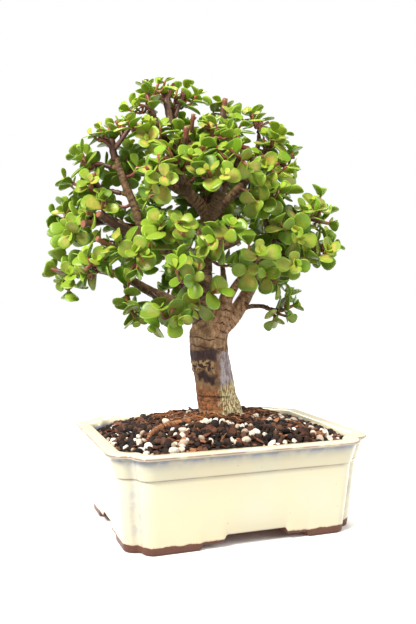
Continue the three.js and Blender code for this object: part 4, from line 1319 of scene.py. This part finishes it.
class Blade:
    """The grid that every leaf is made from: a closed lens, two faces that share their margin."""

    ALONG = 8
    ACROSS = 6

    def __init__(self):
        along = (1 - np.cos(np.linspace(0, math.pi, self.ALONG + 1))) / 2
        lean = np.linspace(-math.pi / 2, math.pi / 2, self.ACROSS + 1)
        rows, wide = self.ALONG - 1, self.ACROSS + 1
        upper = [(u, math.sin(v), math.cos(v)) for u in along[1:-1] for v in lean]
        lower = [(u, math.sin(v), -math.cos(v)) for u in along[1:-1] for v in lean[1:-1]]
        self.grid = np.array([(0, 0, 0), (1, 0, 0), *upper, *lower])

        def top(i, j):
            return 2 + i * wide + j

        def under(i, j):
            if j in (0, wide - 1):
                return top(i, j)
            return 2 + rows * wide + i * (wide - 2) + j - 1

        faces = []
        for j in range(wide - 1):
            faces += [(0, top(0, j), top(0, j + 1)), (0, under(0, j + 1), under(0, j))]
            faces += [(1, top(rows - 1, j + 1), top(rows - 1, j))]
            faces += [(1, under(rows - 1, j), under(rows - 1, j + 1))]
            for i in range(rows - 1):
                faces.append((top(i, j), top(i + 1, j), top(i + 1, j + 1), top(i, j + 1)))
                faces.append((under(i, j + 1), under(i + 1, j + 1), under(i + 1, j), under(i, j)))
        self.faces = faces

    def points(self, leaf, rng):
        """The blade of one leaf: egg-shaped, blunt at its end and narrow at its root."""
        u, v, lift = self.grid.T
        width = 0.42 * rng.uniform(0.86, 1.1)
        theta = np.arccos(1 - 2 * u)
        wedge, blunt = rng.uniform(0.8, 1.15), rng.uniform(0.4, 0.5)
        widest = wedge / (wedge + blunt)
        outline = (u / widest) ** wedge * ((1 - u) / (1 - widest)) ** blunt * width
        thick = leaf.length * rng.uniform(0.05, 0.065)
        full = np.sign(lift) * np.abs(lift) ** 0.7
        bulk = thick * np.sqrt(np.clip(np.sin(theta), 0, 1)) * full * np.where(lift < 0, 0.75, 1.0)
        cup, roll = rng.uniform(-0.03, 0.2), rng.uniform(-0.14, 0.07)
        twist = rng.uniform(-0.28, 0.28)
        rise = 0.5 + bulk + leaf.length * (cup * v * v * np.sin(theta) + roll * u * u)
        flat = outline * v * leaf.length
        sideways = flat * math.cos(twist) - rise * math.sin(twist)
        return leaf.at(
            u * 1.02, sideways / leaf.length, flat * math.sin(twist) + rise * math.cos(twist)
        )


STEM_SIDES = 7
STUB_SIDES = 10
STUB_SHARE = 0.2

# Bare pruned stems that the photo shows, by the shoot they belong to: points and radii
STUBS = {
    "crown_left_tip": [
        ([(-63, -10, 393), (-67, -6, 413), (-69, -6, 430)], [2.6, 2.7, 3.4]),
        ([(-50, -13, 408), (-57, -15, 414), (-62, -16, 418)], [1.8, 1.8, 1.7]),
        ([(-49, -13, 408), (-51, -12, 415), (-53, -12, 421)], [2.8, 2.5, 2.0]),
        ([(-44, -14, 384), (-46, -13, 396), (-48, -13, 411), (-41, -12, 425)], [3.4, 3.4, 3.0, 1.9]),
    ],
    "crown_top_tip": [
        ([(-41, -8, 392), (-34, -6, 411), (-28, -6, 420)], [1.7, 2.0, 1.9]),
        ([(-36, -6, 408), (-34, -5, 414), (-33, -4, 420)], [1.6, 1.6, 1.7]),
    ],
    "centre_top_tip": [([(5, 14, 372), (6, 10, 397), (9, 8, 416)], [3.1, 2.9, 2.5])],
    "centre_top_side": [([(-24, -24, 376), (-23, -28, 384), (-22, -30, 392)], [1.7, 1.8, 2.0])],
    "front_crown": [
        ([(-31, -30, 353), (-29, -40, 366), (-28, -44, 377)], [2.5, 2.4, 2.7]),
        ([(-34, -36, 338), (-42, -46, 350), (-46, -52, 358)], [3.2, 3.6, 4.3]),
    ],
    "stub_crown": [([(-25, -38, 336), (-17, -52, 348), (-12, -60, 357)], [1.7, 1.8, 2.1])],
    "left_spire_tip": [
        ([(-97, -21, 350), (-99, -24, 360), (-100, -24, 370)], [3.4, 3.2, 3.3]),
        ([(-99, -25, 361), (-105, -28, 366), (-112, -30, 370)], [1.9, 1.8, 1.7]),
        ([(-97, -25, 360), (-86, -28, 374), (-77, -30, 386)], [2.2, 2.0, 1.6]),
        ([(-90, -23, 370), (-91, -20, 378), (-96, -20, 388)], [2.2, 2.1, 1.9]),
        ([(-90, -21, 373), (-90, -20, 380), (-90, -18, 387)], [1.8, 1.8, 1.9]),
    ],
    "right_shoulder_tip": [([(54, 6, 350), (66, 0, 356), (77, 0, 357)], [1.7, 1.7, 2.0])],
    "right_shoulder": [([(36, -24, 342), (30, -42, 346), (44, -44, 350)], [1.5, 1.5, 1.7])],
    "left_spire_lower": [([(-100, -30, 316), (-111, -36, 324), (-115, -40, 335)], [1.9, 2.0, 2.3])],
    "left_main_front": [
        ([(-84, -36, 280), (-98, -50, 289), (-108, -60, 295)], [4.2, 3.9, 3.6]),
        ([(-104, -40, 290), (-114, -56, 287), (-121, -64, 286)], [2.8, 2.8, 3.4]),
    ],
    "left_low_tip": [([(-124, -20, 246), (-146, -20, 244), (-163, -14, 247)], [2.2, 1.9, 1.9])],
    "left_cluster": [([(-84, -66, 262), (-100, -74, 268), (-106, -80, 272)], [1.9, 2.1, 2.5])],
    "left_hanging_inner": [([(-30, -50, 218), (-36, -68, 212), (-42, -76, 208)], [1.8, 2.0, 2.7])],
    "right_inner_tip": [([(58, -8, 276), (70, -9, 271), (81, -10, 267)], [1.8, 1.9, 2.2])],
}


def make_foliage(shoots, twigs, crown, materials):
    """One piece for each shoot, of its stems and all the leaves on them."""
    blade = Blade()
    rng = np.random.default_rng(31)
    for order, name in enumerate(shoots):
        skin = Skin(blade=3, tint=4)
        for twig in (twig for twig in twigs if twig.shoot == order):
            add_stem(skin, twig)
            if rng.uniform() < STUB_SHARE:
                add_stub(skin, twig, crown, rng)
            for leaf in twig.leaves:
                add_blade(skin, leaf, blade, crown, rng)
        for points, radii in STUBS.get(name, ()):
            add_stump(skin, points, radii)
        piece = skin.make("shoot_" + name, materials, from_tree)
        belongs(piece, "leaf", name)


def add_blade(skin, leaf, blade, crown, rng):
    """One leaf's blade: larger low in the crown than at its top."""
    height = (leaf.root[2] - CROWN_LOW) / CROWN_TALL
    out = float(crown.share(leaf.at([0.5], [0]))[0])
    leaf.length *= 1.15 - 0.22 * height - 0.17 * smooth_step(out, 0.75, 1)
    leaf.face_up(0.8 * smooth_step(leaf.root[2], 300, 380))
    points = blade.points(leaf, rng)
    # How far out and high the leaf is: yellow-green there, partly real sun-yellowing, and darker further
    # in as painted shade.
    sun_yellowing_and_shade = np.clip(0.9 * out - 0.35 + 0.45 * height + rng.uniform(-0.2, 0.2), 0, 1)
    gold = np.clip(rng.uniform(-0.3, 1.2) * (0.45 + 0.8 * height), 0, 1)
    values = np.column_stack([blade.grid[:, :2], blade.grid[:, 2] > -0.1])
    tint = (rng.uniform(0, 1), gold, sun_yellowing_and_shade, leaf.age)
    skin.add(points, blade.faces, 0, blade=values, tint=tint)


def add_stem(skin, twig):
    """A stem that swells a little where its leaves sit."""
    steps = max(int(twig.curve.length / 2.2), 4)
    places = np.linspace(0, 1, steps + 1)
    sizes = taper(twig.radii, places)
    to_tip = twig.curve.length * (1 - places)
    nodes = near(((to_tip - LEAF_BASE + PAIR_SPACING / 2) % PAIR_SPACING), PAIR_SPACING / 2, 1.4)
    sizes = sizes * (1 + 0.25 * nodes)
    frames = ring_frames(twig.curve, places, twig.turn)
    points, faces = tube(frames, sizes, STEM_SIDES, 0.9)
    age = np.clip(to_tip / 32, 0, 1)
    values = np.zeros((len(points), 3))
    values[:-2, 0] = np.repeat(age, STEM_SIDES)
    values[-2, 0] = age[0]
    skin.add(points, faces, 1, blade=values)


def add_stub(skin, twig, crown, rng):
    """The short stump of a pruned side stem, with a pale cut end."""
    place = rng.uniform(0.25, 0.8)
    centre, tangent, side, other = twig.frame_at(twig.curve.length * (1 - place))
    turn = rng.uniform(0, 2 * math.pi)
    out = side * math.cos(turn) + other * math.sin(turn)
    length, radius = rng.uniform(6, 10), rng.uniform(1.5, 2.1)
    end = centre + length * unit(out + 0.7 * tangent)
    if not crown.holds(end[None]):
        return
    add_stump(skin, [centre, end], [radius, radius])


def add_stump(skin, points, radii):
    """A bare stem that swells at its joints and ends in a cut."""
    curve = Curve(points)
    steps = max(int(curve.length / 2), 3)
    places = np.append(np.linspace(0, 1, steps + 1), 1)
    sizes = taper(radii, places)
    to_tip = curve.length * (1 - places)
    sizes = sizes * (1 + 0.14 * near(to_tip % 8, 4, 1.6))
    sizes[-1] *= 0.86
    points, faces = tube(ring_frames(curve, places), sizes, STUB_SIDES, 0.05)
    values = np.zeros((len(points), 3))
    values[:, 0] = 0.45
    youth = 0.7 if radii[-1] > 2.8 else 0.2
    values[: -2 - STUB_SIDES, 0] = np.repeat(np.clip(youth + to_tip[:-1] / 30, 0, 1), STUB_SIDES)
    values[-2 - STUB_SIDES : -2, 2] = values[-1, 2] = 1
    skin.add(points, faces, 1, blade=values)


# The soil
SOIL_EDGE, SOIL_MOUND, SOIL_DROP = 84.5, 17, 3.0
SOIL_HALF = (POT_LENGTH / 2 - 15.4, POT_DEPTH / 2 - 15.4)
SOIL_CORNER = 27
TRUNK_FOOT = (10.2, 13.3)


def soil_share(x, y):
    """How far out a point of the soil is, from 0 in the middle to 1 at the pot's wall."""
    return ((np.abs(x) / SOIL_HALF[0]) ** 7 + (np.abs(y) / SOIL_HALF[1]) ** 7) ** (1 / 7)


def soil_height(x, y):
    """The height of the fine soil: a mound that falls to the pot's wall."""
    drop = SOIL_DROP * (1 + smooth_step(y, -20, 60))
    return SOIL_EDGE - drop + (SOIL_MOUND + drop) * (1 - np.minimum(soil_share(x, y), 1) ** 2.2)


def make_soil_bed():
    """The fine soil between the grains, down to the pot's floor."""
    skin = Skin()
    edge = pot_outline(15.7, SOIL_CORNER)[::2]
    count = len(edge)
    rings = []
    for inset, corner, height in ((30.3, 20, 20.4), (22.3, 24, 29), (16.2, 27, 74)):
        rings.append(np.column_stack([pot_outline(inset, corner)[::2], np.full(count, height)]))
    for share in np.linspace(1, 0.02, 34):
        x, y = (edge * share).T
        rough = [noise.noise(Vector((a / 5, b / 5, 3))) for a, b in zip(x, y)]
        rings.append(np.column_stack([x, y, soil_height(x, y) - 1.2 + 1.3 * np.array(rough)]))
    rows = len(rings)
    middle = [(0, 0, 20.4), (0, 0, SOIL_EDGE + SOIL_MOUND - 1.2)]
    points = np.vstack([*rings, middle])
    faces = ring_faces(rows, count) + end_faces(rows, count, rows * count, rows * count + 1)
    skin.add(points, faces)
    dark = plain_look("fine_soil", colour(48, 34, 26), 0.95, 500.0, 0.0008)
    return belongs(skin.make("soil_bed", [dark], from_pot), "soil", "soil")


def ball(subdivisions):
    """The points and faces of a ball of triangles."""
    bpy.ops.mesh.primitive_ico_sphere_add(subdivisions=subdivisions, radius=1)
    thing = bpy.context.object
    points = np.array([v.co for v in thing.data.vertices])
    faces = [tuple(face.vertices) for face in thing.data.polygons]
    bpy.data.objects.remove(thing)
    return points, faces


def turned(rng):
    """A random turn of space."""
    a, b, c, d = unit(rng.normal(size=4))
    return np.array(
        [
            [1 - 2 * (c * c + d * d), 2 * (b * c - a * d), 2 * (b * d + a * c)],
            [2 * (b * c + a * d), 1 - 2 * (b * b + d * d), 2 * (c * d - a * b)],
            [2 * (b * d - a * c), 2 * (c * d + a * b), 1 - 2 * (b * b + c * c)],
        ]
    )


# Each kind of grain: its length, width and thickness as shares of its size, and how lumpy it is
GRAINS = {
    "lava": ((1.1, 0.9, 0.75), 0.15),
    "pumice": ((1.15, 0.9, 0.75), 0.11),
    "bark_chips": ((1.7, 0.95, 0.24), 0.12),
}
FINE_GRAIN = 2.1
LARGEST_GRAIN, SMALLEST_GRAIN = 4.4, 1.8
GRAIN_TRIES, GRAIN_SPACING = 16000, 0.66
TRUNK_CLEARANCE, ROOT_CLEARANCE = 22, 3.5
FIBRES, CLOSE_FIBRES = 120, 90


def scatter(rng):
    """Places on the soil, spaced by their sizes and clear of the trunk and its surface root."""
    root = from_tree(Curve(BARE_ROOT[0]).at(np.linspace(0, 0.95, 16))) - POT_MIDDLE
    places = np.empty((0, 3))
    for attempt in range(GRAIN_TRIES):
        x, y = rng.uniform(-1, 1) * SOIL_HALF[0], rng.uniform(-1, 1) * SOIL_HALF[1]
        largest = LARGEST_GRAIN - (LARGEST_GRAIN - SMALLEST_GRAIN) * (attempt / GRAIN_TRIES) ** 0.7
        size = rng.uniform(0.62, 1.0) * largest
        to_trunk = math.hypot(x - TRUNK_FOOT[0], y - TRUNK_FOOT[1])
        to_root = np.hypot(root[:, 0] - x, root[:, 1] - y).min()
        outside = soil_share(x, y) > 1 - 0.75 * size / SOIL_HALF[1] or in_hollow(x, y, size)
        on_trunk = to_trunk < TRUNK_CLEARANCE + 0.4 * size
        if outside or on_trunk or to_root < ROOT_CLEARANCE + 0.6 * size:
            continue
        apart = np.hypot(places[:, 0] - x, places[:, 1] - y)
        if np.all(apart >= GRAIN_SPACING * (places[:, 2] + size)):
            places = np.vstack([places, (x, y, size)])
    return places


def in_hollow(x, y, size):
    """Whether a place is in the pot's corner, past its hollow."""
    return abs(x) - SOIL_HALF[0] + abs(y) - SOIL_HALF[1] > -19 - size


def lumps(points, rng, depth):
    """How far each point of a ball swells, from a few random waves."""
    swell = np.zeros(len(points))
    for scale, share in ((1.5, 0.7), (3.4, 0.35), (7.0, 0.15)):
        turns = rng.normal(size=(3, 3)) * scale
        swell += share * np.sin(points @ turns.T + rng.uniform(0, 6, 3)).sum(axis=1)
    return 1 + depth * swell


def kind_of_grain(x, y, rng):
    """Pumice gathers in patches, mostly in front and on the right; bark lies anywhere."""
    patch = 0.5 + noise.noise(Vector((x / 24, y / 24, 7)))
    white = 0.03 + 0.34 * smooth_step(patch, 0.35, 0.8) * (0.55 + 0.45 * smooth_step(-y, 10, 70))
    white += 0.08 * smooth_step(x, 50, 90)
    draw = rng.uniform()
    if draw < white:
        return "pumice"
    return "bark_chips" if draw < white + 0.26 else "lava"


def make_grains():
    """The loose grains: dark lava grit, white pumice and brown bark chips."""
    rng = np.random.default_rng(47)
    coarse, fine = ball(2), ball(1)
    skins = {name: Skin(grain=3) for name in GRAINS}
    for x, y, size in scatter(rng):
        name = kind_of_grain(x, y, rng)
        flat, lumpy = GRAINS[name]
        points, faces = fine if size < FINE_GRAIN else coarse
        shape = points * lumps(points, rng, lumpy)[:, None] * size * flat
        shape = shape * rng.uniform(0.8, 1.15, 3)
        if name == "bark_chips":
            tilt = lying(rng.uniform(0, 2 * math.pi), *rng.normal(0, 0.4, 2))
        else:
            tilt = turned(rng)
        z = soil_height(x, y) + 0.3 * size - 0.8 + rng.uniform(-0.5, 0.9)
        skins[name].add(shape @ tilt.T + (x, y, z), faces, grain=(rng.uniform(0, 1), 0, 0))
    for name, skin in skins.items():
        belongs(skin.make("soil_" + name, [grain_look(name)], from_pot), "soil")


def lying(turn, tip_x, tip_y):
    """A turn about Z with a little tipping."""
    c, s = math.cos(turn), math.sin(turn)
    about_z = np.array([[c, -s, 0], [s, c, 0], [0, 0, 1]])
    cx, sx, cy, sy = math.cos(tip_x), math.sin(tip_x), math.cos(tip_y), math.sin(tip_y)
    about_x = np.array([[1, 0, 0], [0, cx, -sx], [0, sx, cx]])
    about_y = np.array([[cy, 0, sy], [0, 1, 0], [-sy, 0, cy]])
    return about_z @ about_x @ about_y


def make_fibres():
    """Orange-brown roots and fibres that lie on the soil, mostly round the trunk."""
    rng = np.random.default_rng(53)
    skin = Skin(grain=3)
    for order in range(FIBRES):
        close = order < CLOSE_FIBRES
        angle = rng.uniform(0, 2 * math.pi)
        distance = rng.uniform(24, 58) if close else rng.uniform(50, 100)
        x = TRUNK_FOOT[0] + distance * math.cos(angle)
        y = TRUNK_FOOT[1] + 0.8 * distance * math.sin(angle)
        heading = angle + rng.normal(0, 0.9)
        points = []
        for step in range(8):
            if soil_share(x, y) > 0.93:
                break
            lift = 2.2 + 1.6 * math.sin(step * rng.uniform(0.6, 1.6)) + (0.5 if close else 0)
            points.append((x, y, soil_height(x, y) + lift))
            heading += rng.normal(0, 0.3)
            pace = rng.uniform(3, 7)
            x, y = x + pace * math.cos(heading), y + pace * math.sin(heading)
        if len(points) < 3:
            continue
        curve = Curve(points)
        places = np.linspace(0, 1, 4 * len(points))
        size = rng.uniform(0.3, 0.85) ** 1.3 if close else rng.uniform(0.25, 0.4)
        shape, faces = tube(ring_frames(curve, places), size * (1 - 0.6 * places), 4)
        skin.add(shape, faces, grain=(rng.uniform(0, 1), 0, 0))
    belongs(skin.make("soil_fibres", [grain_look("fibres")], from_pot), "soil")


SCREEN_BARS, SCREEN_BAR = 9, 1.1


def make_screens():
    """A square of black plastic mesh over each drain hole."""
    up = np.array([0, 0, 1])
    for side in ("left", "right"):
        node = "drain_screen_" + side
        low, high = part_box(node)
        skin = Skin()
        half = (high.x - low.x) / MM / 2
        for along in (np.array([1, 0, 0]), np.array([0, 1, 0])):
            sideways = np.cross(along, up)
            for across in np.linspace(-1, 1, SCREEN_BARS) * (half - SCREEN_BAR / 2):
                ends = [across * sideways + reach * along for reach in (-half, half)]
                frames = [(end, along, sideways, up) for end in ends]
                skin.add(*tube(frames, [SCREEN_BAR / 2] * 2, 8, 0))
        middle = np.array((low + high) / 2) / MM
        plastic = plain_look("black_plastic_" + side, colour(34, 36, 40), 0.5)
        screen = skin.make("mesh_screen_" + side, [plastic], lambda points: points + middle)
        belongs(screen, "drain_screen", node)


# The camera, the floor and the light
CAMERA_PLACE, CAMERA_TARGET = (-256.83, -677.04, 230.23), (-7.74, 2.83, 204.27)
CAMERA_LENS, SENSOR_WIDTH = 42.15, 36
FLOOR_HALF, SHADE_REACH, FLOOR_GLOW = 8.0, 0.03, 0.62
WORLD_GLOW = 0.55


def make_camera():
    """The photograph's view, from the left of the pot's front and a little above its rim."""
    camera = bpy.data.cameras.new("camera")
    camera.lens, camera.sensor_width, camera.sensor_fit = CAMERA_LENS, SENSOR_WIDTH, "AUTO"
    thing = bpy.data.objects.new("camera", camera)
    bpy.context.scene.collection.objects.link(thing)
    place = Vector(from_pot(np.array(CAMERA_PLACE)) * MM)
    target = Vector(from_pot(np.array(CAMERA_TARGET)) * MM)
    thing.location = place
    thing.rotation_mode = "QUATERNION"
    thing.rotation_quaternion = (target - place).to_track_quat("-Z", "Y")
    bpy.context.scene.camera = thing


def make_floor():
    """A white floor that takes the part's shadow close to the pot and casts no light on it."""
    mesh = bpy.data.meshes.new("floor")
    corners = [(x * FLOOR_HALF, y * FLOOR_HALF, 0) for x, y in ((-1, -1), (1, -1), (1, 1), (-1, 1))]
    mesh.from_pydata(corners, [], [(0, 1, 2, 3)])
    floor = bpy.data.objects.new("floor", mesh)
    bpy.context.scene.collection.objects.link(floor)
    look = Look("pale_floor", Roughness=0.9, Specular_IOR_Level=0.1)
    look.set("Base Color", (0.9, 0.9, 0.9, 1))
    x, y, _ = look.node("SeparateXYZ", {"Vector": look.place}).outputs
    past = []
    for across, middle, length in ((x, POT_MIDDLE[0], POT_LENGTH), (y, POT_MIDDLE[1], POT_DEPTH)):
        away = look.math("ABSOLUTE", look.math("SUBTRACT", across, middle * MM))
        past.append(look.math("SUBTRACT", away, length / 2 * MM))
    look.set("Emission Color", (1, 1, 1, 1))
    glow = look.between(look.math("MAXIMUM", *past), -SHADE_REACH, SHADE_REACH, 0.0, FLOOR_GLOW)
    look.set("Emission Strength", glow)
    mesh.materials.append(look.material)
    floor.visible_diffuse = False


def make_backdrop():
    """A white dome that the camera sees behind the part, and that casts no light on it."""
    bpy.ops.mesh.primitive_uv_sphere_add(segments=48, ring_count=24, radius=14)
    dome = bpy.context.object
    dome.name = "backdrop"
    look = Look("white_backdrop", Roughness=1.0, Specular_IOR_Level=0.0)
    look.set("Base Color", (0, 0, 0, 1))
    look.set("Emission Color", (1, 1, 1, 1))
    look.set("Emission Strength", 1.0)
    dome.data.materials.append(look.material)
    for ray in ("diffuse", "glossy", "transmission", "volume_scatter", "shadow"):
        setattr(dome, "visible_" + ray, False)


def add_light(name, place, size, power, target=(0, 0, 0.25)):
    """A square soft light that faces the tree."""
    light = bpy.data.lights.new(name, "AREA")
    light.shape, light.size, light.energy = "SQUARE", size, power
    light.color = (1, 0.97, 0.91)
    thing = bpy.data.objects.new(name, light)
    thing.location = place
    thing.rotation_mode = "QUATERNION"
    thing.rotation_quaternion = (Vector(target) - Vector(place)).to_track_quat("-Z", "Y")
    bpy.context.scene.collection.objects.link(thing)


def make_light():
    """Soft studio light: a pale world, a warm key from the upper left, a fill and a back light."""
    scene = bpy.context.scene
    world = bpy.data.worlds.new("studio")
    world.use_nodes = True
    background = world.node_tree.nodes["Background"]
    background.inputs["Color"].default_value = (1, 0.98, 0.94, 1)
    background.inputs["Strength"].default_value = WORLD_GLOW
    scene.world = world
    add_light("key", (-1.2, -0.7, 1.5), 0.6, 60)
    add_light("fill", (1.1, -1.0, 0.9), 0.9, 14)
    add_light("back", (0.3, 1.2, 1.2), 0.9, 16)
    scene.view_settings.view_transform = "Standard"


make_camera()
make_floor()
make_backdrop()
make_light()

shoots = {name: Shoot(*given) for name, given in SHOOTS.items()}
twigs, room = first_leaves(shoots)
filler = Filler(twigs, room, shoots)
make_foliage(shoots, filler.fill(), filler.crown, [leaf_look(), stem_look()])
make_wood(shoots, bark_look())
make_pot()
make_soil_bed()
make_grains()
make_fibres()
make_screens()
